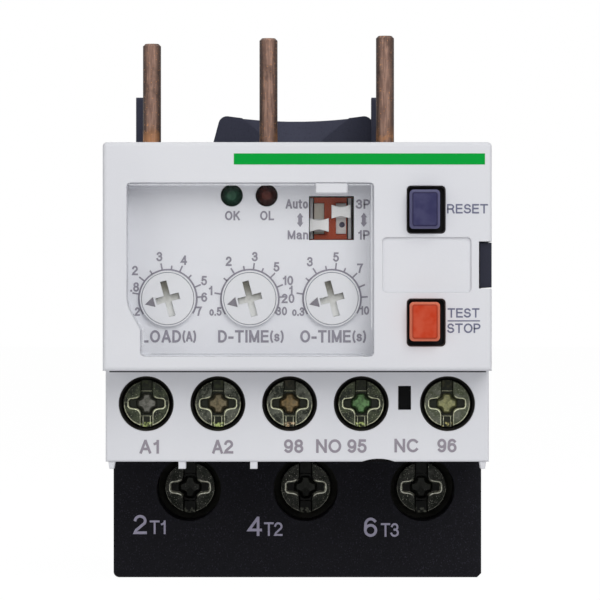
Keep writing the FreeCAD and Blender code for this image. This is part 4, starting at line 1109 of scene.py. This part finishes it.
@dataclass
class SettingPanel:
    """The prints, lamps, switch and dials behind the flap."""

    floor: float = -32.8
    dial_front: float = -33.4
    dial_x: Triple = (-11.49, -1.92, 7.65)
    dial_z: float = -18.1
    dial_radius: float = 3.025
    dial_turn: float = 14.6
    arc: float = 3.38
    sweep: Pair = (212.5, -30.6)
    arc_wide: float = 0.19
    tick_wide: float = 0.18
    ticks: Pair = (0.8, 0.5)
    caps: Pair = (1.1, 1.0)
    caption_up: float = -22.5
    caption_cap: float = 1.45
    captions: Rows = (("LOAD", -14.6, 4.67, "(A)", -9.79), ("D-TIME", -5.63, 5.9, "(s)", 0.42),
                      ("O-TIME", 3.94, 5.9, "(s)", 10.02))
    unit: Pair = (1.2, 1.6)
    words: Rows = (
        ("OK", -3.96, -8.42, 1.1, 0.0), ("OL", 0.08, -8.42, 1.1, 0.0), ("Auto", 3.55, -7.06, 1.1, 2.62),
        ("Man", 3.68, -10.67, 1.05, 2.4), ("3P", 11.26, -7.08, 1.1, 1.65), ("1P", 11.34, -10.67, 1.1, 1.4))
    arrow_x: Pair = (3.93, 11.36)
    arrow: tuple[Pair, ...] = ((-8.1, 0.02), (-8.62, 0.75), (-8.621, 0.44), (-9.229, 0.44),
                               (-9.23, 0.75), (-9.75, 0.02))
    collar: Pair = (0.05, 0.26)
    collar_foot: float = 0.3
    pointer: tuple[Pair, ...] = ((-2.72, 0.02), (-1.64, 1.16))
    slot: Triple = (2.08, 1.38, 0.73)
    switch_front: float = -29.5
    switch_span: Pair = (-11.1, -6.3)
    rails: tuple[Pair, ...] = ((5.26, 0.32), (9.75, 0.36))
    joints: tuple[Pair, ...] = ((5.51, 0.16), (9.48, 0.16), (10.01, 0.18))
    track_floor: float = -27.9
    track_thick: float = 1.3
    track_wide: float = 1.2
    track_span: Pair = (-10.48, -6.92)
    hole: Pair = (8.85, -9.42)
    lamp_x: Pair = (-4.04, 0.03)
    lamp_z: float = -6.07
    lamp_radius: float = 1.25

    def scale(self, sheet: Print, across: float, long: Sequence[float], short: Sequence[float],
              numbers: dict[str, tuple[float, ...]]) -> None:
        """Prints one dial's arc, ticks and numbers.

        Args:
            sheet: The print that it goes on.
            across: The dial's middle.
            long: The long ticks' angles in degrees.
            short: The short ticks' angles.
            numbers: Each number's place from the dial's middle, and its width where it is squeezed.
        """
        centre = np.array([across, self.dial_z])
        sweep = np.radians(np.linspace(*self.sweep, 72))
        sheet.line(centre + self.arc * np.stack([np.cos(sweep), np.sin(sweep)], -1), self.arc_wide)
        for angles, length in zip((long, short), self.ticks):
            for angle in np.radians(angles):
                ray = np.array([math.cos(angle), math.sin(angle)])
                sheet.line(centre + np.outer([self.arc, self.arc + length], ray), self.tick_wide)
        for text, (right, up, *wide) in numbers.items():
            sheet.word(text, across + right, self.dial_z + up, self.caps[len(wide)], *wide)

    def build(self) -> None:
        """Prints the panel and its scales, and adds the dials' and the switch's small pieces."""
        sheet = Print("panel_print", self.floor, pen=0.185, breadth=1.08)
        self.scale(sheet, self.dial_x[0], (171, 143, 101, 66, 23, 3), (122.5, 83, 45),
                   {".2": (-3.68, -1.5, 0.85), ".8": (-3.86, 1.36), "2": (-3.83, 3.28),
                    "3": (-0.98, 4.9), "4": (1.88, 4.48), "5": (4.23, 2.1),
                    "6": (4.24, 0.17), "7": (3.62, -1.47)})
        longs, shorts = (171, 122, 83, 45.5, 23, 3), (142, 101, 66)
        self.scale(sheet, self.dial_x[1], longs, shorts,
                   {"o.5": (-4.02, -1.5, 1.43), "1": (-4.6, 0.94), "2": (-2.47, 4.36),
                    "3": (0.57, 4.9), "5": (3.1, 3.7), "10": (4.42, 2.12),
                    "20": (4.45, 0.02), "30": (3.68, -1.45, 1.3)})
        self.scale(sheet, self.dial_x[2], longs, shorts,
                   {"o.3": (-3.94, -1.52, 1.43), "1": (-4.82, 0.96), "3": (-2.58, 4.3),
                    "5": (0.47, 4.85), "7": (3.26, 3.54), "10": (3.78, -1.38, 1.1)})
        for text, left, wide, unit, start in self.captions:
            sheet.word(text, left, self.caption_up, self.caption_cap, wide, Align.LEFT)
            sheet.word(unit, start, self.caption_up, *self.unit, Align.LEFT)
        for word in self.words:
            sheet.word(*word)
        heights, widths = np.array(self.arrow).T
        for across in self.arrow_x:
            sheet.line(np.stack([np.full_like(heights, across), heights], -1), widths)
        ink = PrintedInk(srgb(142, 139, 149), srgb(166, 163, 172)).material("panel_ink")
        sheet.piece(ink, "housing", "white_plastic")
        self.build_dials()
        self.build_switch()

    def build_dials(self) -> None:
        """Adds the pale collar round each dial, its inked arrow and the floor of its slot, which carries
        painted shade.
        """
        plastic = MouldedPlastic(srgb(222, 223, 227), srgb(216, 217, 222), roughness=0.6, grain=4.0,
                                 depth=0.01)
        white = plastic.material("collar_white")
        ink = PrintedInk(srgb(128, 125, 132), srgb(150, 147, 154)).material("arrow_ink")
        # The slot floor's colour is painted shade: dark at the slot's upper end, unshaded at its lower end.
        shaded_slot_floor = SlotFloor(srgb(118, 116, 106), srgb(222, 223, 220), self.dial_z, 2.0).material("slot_floor")
        turn = math.radians(self.dial_turn)
        spin = np.array([[math.cos(turn), math.sin(turn)], [-math.sin(turn), math.cos(turn)]])
        inner, outer = (self.dial_radius + wall for wall in self.collar)
        top, foot = self.dial_front + 0.02, self.floor + self.collar_foot
        profile = [(inner, foot), (inner, top), (outer - 0.06, top), (outer - 0.02, top + 0.04),
                   (outer, self.floor - 0.02), (outer, foot)]
        reach, widths = np.array(self.pointer).T
        pointer = np.stack([reach, np.zeros_like(reach)], -1) @ spin
        tall, across_arm, slot_wide = self.slot
        for name, across in zip(numbered("dial", len(self.dial_x)), self.dial_x):
            centre = np.array([across, self.dial_z])
            turned = lathe(profile, (across, self.dial_z))
            collar = Surface().grid(turned, round_rows=True, round_columns=True)
            piece(collar.mesh(f"{name}_collar"), white, "housing")
            arrow = Print(f"{name}_arrow", self.dial_front + 0.2, 0.19)
            arrow.line(centre + pointer, widths)
            arrow.piece(ink, name, "dial_white")
            slot = Print(f"{name}_slot", self.dial_front + 0.9, 0.4)
            slot.line(centre + np.array([[0.0, -tall], [0.0, tall]]) @ spin, slot_wide)
            slot.line(centre + np.array([[-across_arm, 0.0], [across_arm, 0.0]]) @ spin, slot_wide)
            slot.piece(shaded_slot_floor, name, "dial_white")

    def build_switch(self) -> None:
        """Adds the mode switch's pale side rails, dark bars of painted shade in the gaps beside them, the
        floors of its tracks and a dark disc of painted shade in the right track's hole.
        """
        # The gap bars' near-black colour is painted shade in the gaps.
        for name, places, thick, colour, tint, roughness, material, slot in (
                ("switch_rails", self.rails, 0.06, srgb(226, 226, 228), srgb(208, 208, 210), 0.5,
                 "rail_grey", "white_plastic"),
                ("switch_gap_shade", self.joints, 0.03, srgb(30, 22, 20), srgb(42, 30, 26), 0.6,
                 "gap_shade_black", "switch_red")):
            bars = Print(name, self.switch_front, thick)
            for across, wide in places:
                bars.upright(across, *self.switch_span, wide)
            plastic = MouldedPlastic(colour, tint, roughness, depth=0.01)
            bars.piece(plastic.material(material), "housing", slot)
        for side, across, colour, tint in (("left", 6.165, srgb(240, 240, 226), srgb(224, 224, 210)),
                                           ("right", 8.735, srgb(250, 250, 248), srgb(238, 238, 236))):
            plate = Print(f"track_{side}", self.track_floor, self.track_thick)
            plate.upright(across, *self.track_span, self.track_wide)
            tin = MouldedPlastic(colour, tint, roughness=0.4, grain=3.0, depth=0.01)
            plate.piece(tin.material(f"track_{side}_tin"), "housing", "switch_red")
        face = self.track_floor - self.track_thick
        profile = [(0.0, face), (0.18, face - 0.01), (0.33, face - 0.03), (0.33, face + 0.1),
                   (0.0, face + 0.1)]
        hole = Surface().grid(lathe(profile, self.hole, 32), round_columns=True)
        # The hole's dark disc is painted shade.
        hole_shade_plastic = MouldedPlastic(srgb(84, 82, 104), srgb(62, 60, 82), depth=0.01)
        piece(hole.mesh("track_hole_shade"), hole_shade_plastic.material("track_hole_shade"), "housing")

    def dress(self) -> None:
        """Gives the dials, lamps and switch their finishes."""
        dial = MouldedPlastic(srgb(222, 223, 226), srgb(214, 215, 219), roughness=0.45, depth=0.01)
        dress(dial, "dial_white", *numbered("dial", len(self.dial_x)))
        for lamp, across, colour, glow in (("green", self.lamp_x[0], srgb(6, 36, 22), srgb(30, 78, 54)),
                                           ("red", self.lamp_x[1], srgb(36, 8, 3), srgb(84, 28, 14))):
            lens = LampLens(colour, glow, (across, self.lamp_z), self.lamp_radius)
            dress(lens, f"lens_{lamp}", f"led_{lamp}")
        body = MouldedPlastic(srgb(206, 92, 58), srgb(180, 76, 48), grain=4.0, edge=0.1, gloss=0.2)
        dress(body, "switch_red", "dip_body")
        slider = MouldedPlastic(srgb(248, 248, 246), srgb(240, 240, 238), roughness=0.45, depth=0.01)
        dress(slider, "slider_white", "dip_slider_left", "dip_slider_right")


@dataclass
class PushButtons:
    """The two caps, with dark tubes of painted shade in the holes round them, and their prints."""

    front: float = COVER_FRONT
    hole_x: float = 18.5
    cap_x: float = 18.32
    hole: Triple = (4.5, 5.55, 0.5)
    cap: Triple = (3.49, 4.52, 0.45)
    cap_front: float = -38.5
    bevel: float = 0.34
    bevel_deep: float = 0.42
    stem: Triple = (2.0, 2.0, 0.3)
    stem_back: float = -30.0
    flange: Pair = (-34.25, -35.25)
    flange_over: float = 1.6
    hole_shade: Pair = (-36.9, -35.4)
    hole_shade_wall: float = 0.3
    hole_shade_gap: float = 0.02

    def cap_rows(self) -> tuple[np.ndarray, dict[str, np.ndarray]]:
        """The cap's sections from its stem to its bevelled face.

        Returns:
            Depth, width, height and corner radius of each row, and its share of bevel, shaded_border and
            shaded_skirt.
        """
        wide, high, corner = self.cap
        flange = (wide + self.flange_over, high + self.flange_over, 0.5)
        flange_back, flange_front = self.flange
        top = (wide - 2 * self.bevel, high - 2 * self.bevel)
        start = self.cap_front + self.bevel_deep
        rows = [
            ((self.stem_back, *self.stem), (0, 0, 1)),
            ((flange_back, *self.stem), (0, 0, 1)),
            ((flange_back, *flange), (0, 0, 1)),
            ((flange_front, *flange), (0, 0, 1)),
            ((flange_front, *self.cap), (0, 0, 1)),
            ((self.front + 0.1, *self.cap), (0, 0, 1)),
            ((self.front - 0.05, *self.cap), (0.5, 0, 0)),
            ((start - 0.02, *self.cap), (0.7, 0, 0)),
            ((start - 0.1, wide - 0.1, high - 0.1, corner - 0.02), (1, 0, 0)),
            ((self.cap_front + 0.08, top[0] + 0.16, top[1] + 0.16, 0.3), (0.6, 0, 0)),
            ((self.cap_front + 0.02, top[0] + 0.06, top[1] + 0.06, 0.28), (0.3, 1, 0)),
            ((self.cap_front, top[0] - 0.04, top[1] - 0.04, 0.25), (0, 1, 0)),
            ((self.cap_front, top[0] - 0.2, top[1] - 0.2, 0.2), (0, 0.25, 0)),
            ((self.cap_front, top[0] - 0.4, top[1] - 0.4, 0.15), (0, 0, 0)),
        ]
        sections = np.array([section for section, _ in rows])
        shares = np.array([rows[0][1], *[share for _, share in rows], rows[-1][1]], float)
        paint = {key: shares[:, index:index + 1] for index, key in enumerate(("bevel", "shaded_border", "shaded_skirt"))}
        return sections, paint

    def build(self) -> None:
        """Builds both caps, the painted shade in their holes and their prints."""
        black = srgb(14, 12, 16)
        # Each cap's paler bevel colour is painted highlight; its border and skirt colours are painted shade.
        blue = CapPlastic(srgb(42, 41, 80), srgb(92, 91, 124), srgb(24, 20, 56), black)
        orange = CapPlastic(srgb(188, 52, 12), srgb(216, 122, 94), srgb(150, 42, 12), black)
        sections, paint = self.cap_rows()
        wide, high, corner = self.hole
        inside = (wide - self.hole_shade_wall, high - self.hole_shade_wall, corner - 0.1)
        outside = (wide - self.hole_shade_gap, high - self.hole_shade_gap, corner)
        mouth, back = self.hole_shade
        levels = [(mouth, *outside), (mouth, *inside), (back, *inside), (back, *outside)]
        # Each hole's dark tube is painted shade in the gap round the cap; the test hole's brownish colour is
        # also a painted reflection of the orange cap.
        for name, hole_up, cap_up, finish, hole_shade, slot in (
                ("reset", -7.82, -7.78, blue, srgb(20, 18, 21), "button_blue"),
                ("test", -20.87, -20.75, orange, srgb(42, 26, 21), "button_orange")):
            cap = Surface().grid(capped(loft(sections, (self.cap_x, cap_up))), round_columns=True, **paint)
            plastic = finish.material(f"{name}_cap_plastic")
            piece(cap.mesh(f"{name}_cap"), plastic, name, [f"{name}_button"])
            hole_shade_mesh = Surface().grid(loft(levels, (self.hole_x, hole_up)), round_rows=True, round_columns=True)
            dark = MouldedPlastic(hole_shade, srgb(30, 25, 26), roughness=0.6, grain=4.0)
            hole_shade_material = dark.material(f"{name}_hole_shade_black")
            piece(hole_shade_mesh.mesh(f"{name}_sleeve"), hole_shade_material, "housing")
        words = Print("button_print", self.front)
        words.word("RESET", 20.92, -7.71, 1.09, 4.72, Align.LEFT)
        words.word("TEST", 20.98, -19.75, 1.08, 3.68, Align.LEFT)
        words.line([(20.98, -20.67), (24.72, -20.67)], 0.14)
        words.word("STOP", 20.92, -21.52, 1.1, 3.86, Align.LEFT)
        ink = PrintedInk(srgb(112, 114, 136), srgb(150, 152, 168)).material("button_ink")
        words.piece(ink, "housing", "white_plastic")


class Family(Enum):
    """The two kinds of terminal."""

    POWER = "power"
    CONTROL = "control"


def held(value: np.ndarray) -> np.ndarray:
    """The value held between 0 and 1."""
    return np.clip(value, 0, 1)


def ridge(away: np.ndarray, wide: float) -> np.ndarray:
    """A soft line, 1 where away is 0 and fading over wide."""
    return np.exp(-(away / wide) ** 2)


def smaller(first: np.ndarray, second: np.ndarray, over: float) -> np.ndarray:
    """The smaller of two distances, blended over a length."""
    share = held(0.5 + 0.5 * (second - first) / over)
    return second + (first - second) * share - over * share * (1 - share)


def bar(u: np.ndarray, v: np.ndarray, long: float, half: Union[float, np.ndarray]) -> np.ndarray:
    """The distance to a rectangle whose corners are rounded by half of its half width.

    Args:
        u: Points along it.
        v: Points across it.
        long: Its half length.
        half: Its half width, or one for each point.

    Returns:
        The distance, below 0 inside.
    """
    corner = 0.5 * half
    du, dv = np.abs(u) - long + corner, np.abs(v) - half + corner
    return np.hypot(np.maximum(du, 0), np.maximum(dv, 0)) + np.minimum(np.maximum(du, dv), 0) - corner


@dataclass
class TerminalScrews:
    """One family's screws: slot, cross recess, rounded head and a rolled thread.

    The drive's sizes, from slot to ledge, are for a head of drive_radius, and grow with the head.
    """

    family: Family
    across: tuple[float, ...]
    up: float
    head: Pair
    head_radius: float
    tip: float
    thread_radius: float
    pitch: float
    tints: tuple[tuple[Colour, Colour, Colour, Colour], ...]
    # How bright the rubbed and painted-highlight lines are along the slot and the ledges, their width, the
    # painted-shade colour of the recess walls and the lines' colour.
    slot_wear_and_highlight: float
    ledge_wear_and_highlight: float
    line: float
    wall: Colour
    wear_and_highlight_colour: Colour
    drive_radius: float = 2.75
    slot: float = 0.66
    arm: Pair = (2.08, 0.56)
    arm_taper: Pair = (1.2, 0.35)
    pit: Pair = (1.1, 0.42)
    inner_round: float = 0.75
    ledge: float = 1.47
    slot_deep: float = 0.62
    ledge_rise: float = 0.18
    pit_deep: float = 0.4
    pit_point: float = 0.35
    rim: float = 0.16
    rings: int = 88
    spokes: int = 320
    thread_spokes: int = 48
    thread_rows: int = 10

    @property
    def size(self) -> float:
        """How many times the drive's sizes it has."""
        return self.head_radius / self.drive_radius

    def recess(self, x: np.ndarray, z: np.ndarray) -> tuple[np.ndarray, np.ndarray, np.ndarray]:
        """Distances to the drive's outlines.

        The slot is a band and the arms are a rectangle that narrows outwards, and a smooth minimum of their
        distances rounds the inner corners. The pit is a smaller cross made in the same way.

        Args:
            x: Points across from the head's middle.
            z: Points up from it.

        Returns:
            The distance to the cross, to the arms alone and to the pit, below 0 inside.
        """
        size, blend = self.size, self.inner_round * self.size
        slot = np.abs(x) - self.slot * size
        long = self.arm[0] * size
        root, taper = self.arm_taper
        arms = bar(x, z, long, self.arm[1] * size * (root - taper * np.minimum(np.abs(x) / long, 1)))
        pit_long, pit_half = self.pit[0] * size, self.pit[1] * size
        pit = smaller(bar(x, z, pit_long, pit_half), bar(z, x, pit_long, pit_half), blend)
        return smaller(slot, arms, blend), arms, pit

    def head_grid(self, across: float) -> tuple[np.ndarray, dict[str, np.ndarray]]:
        """The head's top and side.

        The point at radius r and angle t lies below the face by a smooth step of the distance to the cross
        times the slot's depth, which is less beyond the ledges near the slot's ends, plus a step of the
        distance to the pit, whose floor is a shallow pyramid. The rim turns over in a quarter circle.

        Args:
            across: The screw's middle.

        Returns:
            The grid and what its points carry.
        """
        front, back = self.head
        radius, size = self.head_radius, self.size
        r = np.concatenate([np.linspace(0, 1, self.rings) * (radius - 0.02), [radius] * 2])[:, None]
        t = np.linspace(0, 2 * math.pi, self.spokes, endpoint=False)[None, :]
        x, z = r * np.cos(t), r * np.sin(t)
        cross, arms, pit = self.recess(x, z)
        inside = held(0.5 - cross / 0.16)
        inside = inside * inside * (3 - 2 * inside)
        deep = held(0.5 - pit / 0.3)
        past = held((np.abs(z) - self.ledge * size) / 0.08 + 0.5)
        turn = held((r - (radius - self.rim)) / self.rim)
        rim = self.rim * (1 - np.sqrt(np.maximum(1 - turn * turn, 0)))
        well = np.maximum(1 - np.maximum(np.abs(x), np.abs(z)) / (self.pit[0] * size), 0)
        hollow = (self.slot_deep - self.ledge_rise * past) * inside
        hollow = hollow + (self.pit_deep + self.pit_point * well) * deep
        depth = front + np.maximum(hollow, np.broadcast_to(rim, x.shape))
        depth[-1] = back
        # What the points carry: bright lines along the recess's edges, the rim, the ledges and the lower arm,
        # which are rubbed metal and painted highlight, stronger lower down where light falls into the recess;
        # painted shade on the recess walls; a painted glint at the slot's lower end; and the pit's floor.
        line = ridge(cross - 0.07, self.line)
        by_arm = ridge(np.maximum(arms, 0), 0.35)
        below = held(0.5 - z / (0.6 * size))
        rim_line = ridge(r - 0.95 * radius, 0.06) * (1 - inside) * (0.6 + 0.4 * below)
        ledge_line = ridge(np.abs(z) - self.ledge * size, 0.06) * inside
        end_lines = ridge(np.abs(x) - 0.43 * size, 0.06) * (z < -self.ledge * size) * 0.8
        slot_line = self.slot_wear_and_highlight * (0.2 + 0.8 * below)
        edges = line * (slot_line + (1 - slot_line) * by_arm * (0.75 + 0.25 * below))
        rim_wear_and_highlight = (0.3 + 0.5 * self.ledge_wear_and_highlight) * rim_line
        wear_and_highlight = np.maximum.reduce([edges, rim_wear_and_highlight, self.ledge_wear_and_highlight * ledge_line,
                                  self.ledge_wear_and_highlight * end_lines])
        end = held((-z - 2.15 * size) / 0.15) + 0.04 * held((z - 1.7 * size) / 0.2)
        paint = {"wear_and_highlight": wear_and_highlight, "floor": deep * deep, "wall": inside * (1 - deep), "glint": inside * end}
        return np.stack([across + x, depth, self.up + z], -1), paint

    def shank_grid(self, across: float) -> np.ndarray:
        """The thread below the head.

        The radius is the thread's outer radius less its depth times a triangle wave of the distance along the
        screw in pitches less the turn, so the crest climbs one pitch a turn. Rows at both ends close it.

        Args:
            across: The screw's middle.

        Returns:
            Rows by points by three.
        """
        back = self.head[1]
        rows = np.linspace(back, self.tip, int((self.tip - back) / self.pitch * self.thread_rows))
        rows = rows[:, None]
        t = np.linspace(0, 2 * math.pi, self.thread_spokes, endpoint=False)[None, :]
        phase = ((rows - back) / self.pitch - t / (2 * math.pi)) % 1.0
        fade = held((self.tip - rows) / self.pitch)
        radius = self.thread_radius - 0.55 * self.pitch * np.abs(2 * phase - 1) - 0.3 * (1 - fade)
        depth = np.broadcast_to(rows, radius.shape)
        return capped(np.stack([across + radius * np.cos(t), depth, self.up + radius * np.sin(t)], -1))

    def build(self) -> None:
        """Builds each screw with its own tint."""
        names = numbered(f"{self.family.value}_screw", len(self.across))
        for name, across, colours in zip(names, self.across, self.tints):
            head, paint = self.head_grid(across)
            under = np.stack([head[-1], np.broadcast_to([across, self.head[1], self.up], head[-1].shape)])
            shank = self.shank_grid(across)
            bare = {key: np.zeros((2, head.shape[1])) for key in paint}
            plain = {key: np.zeros(shank.shape[:2]) for key in paint}
            surface = Surface().grid(head, round_columns=True, **paint)
            surface.grid(under, round_columns=True, **bare).grid(shank, round_columns=True, **plain)
            land, tint, floor, glint = colours
            finish = ChromateSteel(land, tint, self.wear_and_highlight_colour, floor, self.wall, glint)
            piece(surface.mesh(f"{name}_turned"), finish.material(f"{name}_chromate"), name,
                  [name])


@dataclass
class TerminalPrints:
    """The terminals' numbers, the painted shade in the control bores and in the strip's slot and scallop, and
    the painted shadow line under the cover's edge.
    """

    strip: float = -30.5
    base: float = -8.5
    bores: tuple[float, ...] = CONTROL_X
    bore_up: float = CONTROL_UP
    bore_shade: Rows = ((2.83, -27.75), (2.83, -28.2), (3.0, -29.2), (3.21, -29.9), (3.21, -27.75))
    slot: Box = (16.18, -31.11, -28.35, 1.52)
    slot_back: float = 0.8
    slot_thick: float = 0.4
    scallop: Pair = (13.1, -37.2)
    scallop_radius: float = 5.5
    scallop_high: float = 0.35
    scallop_half: float = 1.9
    scallop_back: float = 0.35
    scallop_thick: float = 0.2
    seam_shadow: Box = (-18.4, 25.7, -26.64, 0.18)
    seam_shadow_thick: float = 0.01
    strip_cap: float = 1.6
    strip_words: Rows = (("A1", -13.73, -35.45, 2.27), ("A2", -5.13, -35.45, 2.47),
                         ("98", 3.18, -35.38, 2.26), ("NO", 7.28, -35.37, 2.95), ("95", 10.6, -35.37, 2.24),
                         ("NC", 16.38, -35.31, 2.8), ("96", 21.13, -35.31, 2.22))
    base_caps: Pair = (2.35, 1.67)
    base_words: Rows = (("2", -16.45, "T1", -14.48, 1.95, -46.92), ("4", -2.48, "T2", -0.48, 2.27, -47.14),
                        ("6", 11.73, "T3", 13.82, 2.2, -47.25))

    def build(self) -> None:
        """Adds the painted shade in the bores, the slot and the scallop, and the painted shadow line under the
        cover, and prints both rows of numbers.
        """
        # Near-black rings in the control bores round the screw heads: painted shade.
        dark = MouldedPlastic(srgb(20, 19, 18), srgb(30, 28, 26), roughness=0.6, grain=4.0)
        black = dark.material("bore_shade_black")
        for name, across in zip(numbered("control_bore_shade", len(self.bores)), self.bores):
            turned = lathe(self.bore_shade, (across, self.bore_up))
            ring = Surface().grid(turned, round_rows=True, round_columns=True)
            piece(ring.mesh(name), black, "housing")
        shadow = PrintedInk(srgb(3, 3, 4), srgb(9, 9, 10)).material("slot_black")
        slot = Print("strip_slot", self.strip + self.slot_back, self.slot_thick)
        slot.upright(*self.slot)
        slot.piece(shadow, "housing", "black_plastic")
        self.build_scallop(shadow)
        # A thin dark line just under the cover's lower edge: painted shadow of the cover's overhang.
        left, right, up, wide = self.seam_shadow
        seam_shadow = Print("strip_seam_shadow", self.strip, self.seam_shadow_thick)
        seam_shadow.line([(left, up), (right, up)], wide)
        shade = PrintedInk(srgb(74, 72, 76), srgb(96, 94, 98)).material("seam_shade")
        seam_shadow.piece(shade, "housing", "white_plastic")
        self.build_words()

    def build_scallop(self, shadow: bpy.types.Material) -> None:
        """Adds the shadow in the strip's thumb scallop, whose top is an arc over a flat foot.

        Args:
            shadow: Its material.
        """
        middle, foot = self.scallop
        reach = np.linspace(-self.scallop_half, self.scallop_half, 33)
        rise = np.sqrt(self.scallop_radius ** 2 - reach ** 2) - self.scallop_radius + self.scallop_high
        hollow = Print("strip_scallop", self.strip + self.scallop_back, self.scallop_thick)
        hollow.line(np.stack([middle + reach, foot + rise / 2], -1), rise)
        hollow.piece(shadow, "housing", "black_plastic")

    def build_words(self) -> None:
        """Prints the strip's row of numbers and the base's."""
        row = Print("strip_print", self.strip, pen=0.185)
        for text, across, up, wide in self.strip_words:
            row.word(text, across, up, self.strip_cap, wide)
        ink = PrintedInk(srgb(150, 144, 153), srgb(168, 162, 170)).material("strip_ink")
        row.piece(ink, "housing", "white_plastic")
        row = Print("base_print", self.base, pen=0.14, gap=0.06)
        tall, short = self.base_caps
        for digit, left, pole, start, wide, foot in self.base_words:
            row.word(digit, left, foot + tall / 2, tall, 0.0, Align.LEFT)
            row.word(pole, start, foot + short / 2, short, wide, Align.LEFT)
        ink = PrintedInk(srgb(172, 168, 188), srgb(144, 140, 160)).material("base_ink")
        row.piece(ink, "housing", "black_plastic")


@dataclass
class Studio:
    """The camera, the pale floor and the soft light."""

    eye: Triple = (3.92, -517.0, -18.26)
    lens: float = 249.2
    sensor: float = 36.0
    clip: Pair = (0.01, 20.0)
    floor_z: float = -52.25
    floor_half: float = 2500.0
    floor_share: float = 0.96
    floor_white: float = 1.025
    ambient: float = 0.23
    target: Triple = (3.9, -20.0, -20.0)
    lamps: Rows = (("key", (150, -440, 270), 1.66, 420), ("fill", (-340, -380, 40), 0.42, 300),
                   ("top", (0, 80, 420), 0.45, 260))

    def build(self) -> None:
        """Sets the camera, floor, world and lamps."""
        scene = bpy.context.scene
        camera = bpy.data.cameras.new("camera")
        camera.lens, camera.sensor_width = self.lens, self.sensor
        camera.clip_start, camera.clip_end = self.clip
        holder = bpy.data.objects.new("camera", camera)
        holder.location = [value * MM for value in self.eye]
        holder.rotation_euler = (math.pi / 2, 0, 0)
        scene.collection.objects.link(holder)
        scene.camera = holder
        scene.view_settings.view_transform = "Standard"
        self.floor()
        self.world()
        for lamp in self.lamps:
            self.lamp(*lamp)

    def seen(self, shader: Shader) -> Link:
        """Tells the rays that show the background: from the camera, from gloss or through clear parts.

        Args:
            shader: The shader that asks.

        Returns:
            1 for such a ray, and 0 for others.
        """
        kinds = ("Is Camera Ray", "Is Glossy Ray", "Is Transmission Ray")
        camera, glossy, passed = (shader.node("ShaderNodeLightPath", {}, {}, kind) for kind in kinds)
        total = camera + glossy + passed
        return total.math("MINIMUM", total, 1.0)

    def floor(self) -> None:
        """A wide pale floor that shows nearly white and keeps a soft shadow."""
        side = np.linspace(-self.floor_half, self.floor_half, 3)
        x, y = np.meshgrid(side, side)
        mesh = Surface().grid(np.stack([x, y, np.full_like(x, self.floor_z)], -1)).mesh("floor")
        shader = Shader("floor_pale")
        plain = shader.node("ShaderNodeBsdfDiffuse", {}, {"Color": (0.9, 0.9, 0.91)})
        white = shader.node("ShaderNodeEmission", {},
                            {"Color": (1.0, 1.0, 1.0), "Strength": self.floor_white})
        share = self.seen(shader) * self.floor_share
        mixed = shader.node("ShaderNodeMixShader", {}, {0: share, 1: plain, 2: white})
        shader.node("ShaderNodeOutputMaterial", {}, {"Surface": mixed})
        mesh.materials.append(shader.material)
        made = bpy.data.objects.new("floor", mesh)
        bpy.context.scene.collection.objects.link(made)

    def world(self) -> None:
        """White where it is seen and a soft light elsewhere."""
        world = bpy.data.worlds.new("studio")
        shader = Shader("studio", world)
        seen = self.seen(shader)
        strength = self.ambient + (1 - self.ambient) * seen
        ground = shader.node("ShaderNodeBackground", {}, {"Color": (1.0, 1.0, 1.0), "Strength": strength})
        shader.node("ShaderNodeOutputWorld", {}, {"Surface": ground})
        bpy.context.scene.world = world

    def lamp(self, name: str, place: Triple, power: float, size: float) -> None:
        """Adds a square soft lamp that faces the relay.

        Args:
            name: The lamp's name.
            place: Where it is, in millimetres.
            power: Its power in watts.
            size: Its side in millimetres.
        """
        light = bpy.data.lights.new(name, "AREA")
        light.energy, light.size = power, size * MM
        made = bpy.data.objects.new(name, light)
        made.location = [value * MM for value in place]
        aim = np.array(self.target) - np.array(place, float)
        flat = math.hypot(aim[0], aim[1])
        made.rotation_euler = (math.pi / 2 + math.atan2(aim[2], flat), 0, math.atan2(-aim[0], aim[1]))
        bpy.context.scene.collection.objects.link(made)


def build_screws() -> None:
    """Builds both families of screws, each screw with its land, stain, floor and glint."""
    black, olive, grey = srgb(26, 30, 23), srgb(62, 68, 50), srgb(92, 94, 84)
    moss, straw, rose = srgb(166, 180, 112), srgb(186, 178, 116), srgb(190, 164, 130)
    # The wall colours are painted shade in the recesses, and the glint colours are painted highlights.
    TerminalScrews(
        Family.CONTROL, across=CONTROL_X, up=CONTROL_UP, head=(-29.3, -27.4), head_radius=2.75,
        tip=-21.95, thread_radius=1.75, pitch=0.6, slot_wear_and_highlight=0.6, ledge_wear_and_highlight=0.75, line=0.1,
        wall=srgb(25, 28, 20), wear_and_highlight_colour=srgb(226, 228, 196),
        tints=((black, olive, srgb(116, 115, 108), moss), (black, grey, srgb(124, 113, 88), moss),
               (black, grey, srgb(128, 108, 74), rose), (black, olive, srgb(98, 134, 88), moss),
               (olive, grey, srgb(150, 150, 108), straw))).build()
    TerminalScrews(
        Family.POWER, across=(-9.68, 4.62, 18.92), up=-41.4, head=(-3.55, -1.15), head_radius=3.15,
        tip=6.0, thread_radius=2.0, pitch=0.7, slot_wear_and_highlight=0.25, ledge_wear_and_highlight=0.35, line=0.17,
        wall=srgb(9, 10, 8), wear_and_highlight_colour=srgb(255, 255, 236),
        tints=((black, srgb(58, 58, 54), srgb(46, 47, 44), grey),) * 3).build()


def main() -> None:
    """Builds the studio and the relay's pieces in order."""
    logging.basicConfig(level=logging.INFO, format="%(name)s %(message)s")
    Studio().build()
    housing = Housing()
    housing.dress()
    housing.build()
    Conductors().dress()
    Electronics().dress()
    panel = SettingPanel()
    panel.dress()
    panel.build()
    PushButtons().build()
    build_screws()
    TerminalPrints().build()


if __name__ == "__main__":
    main()
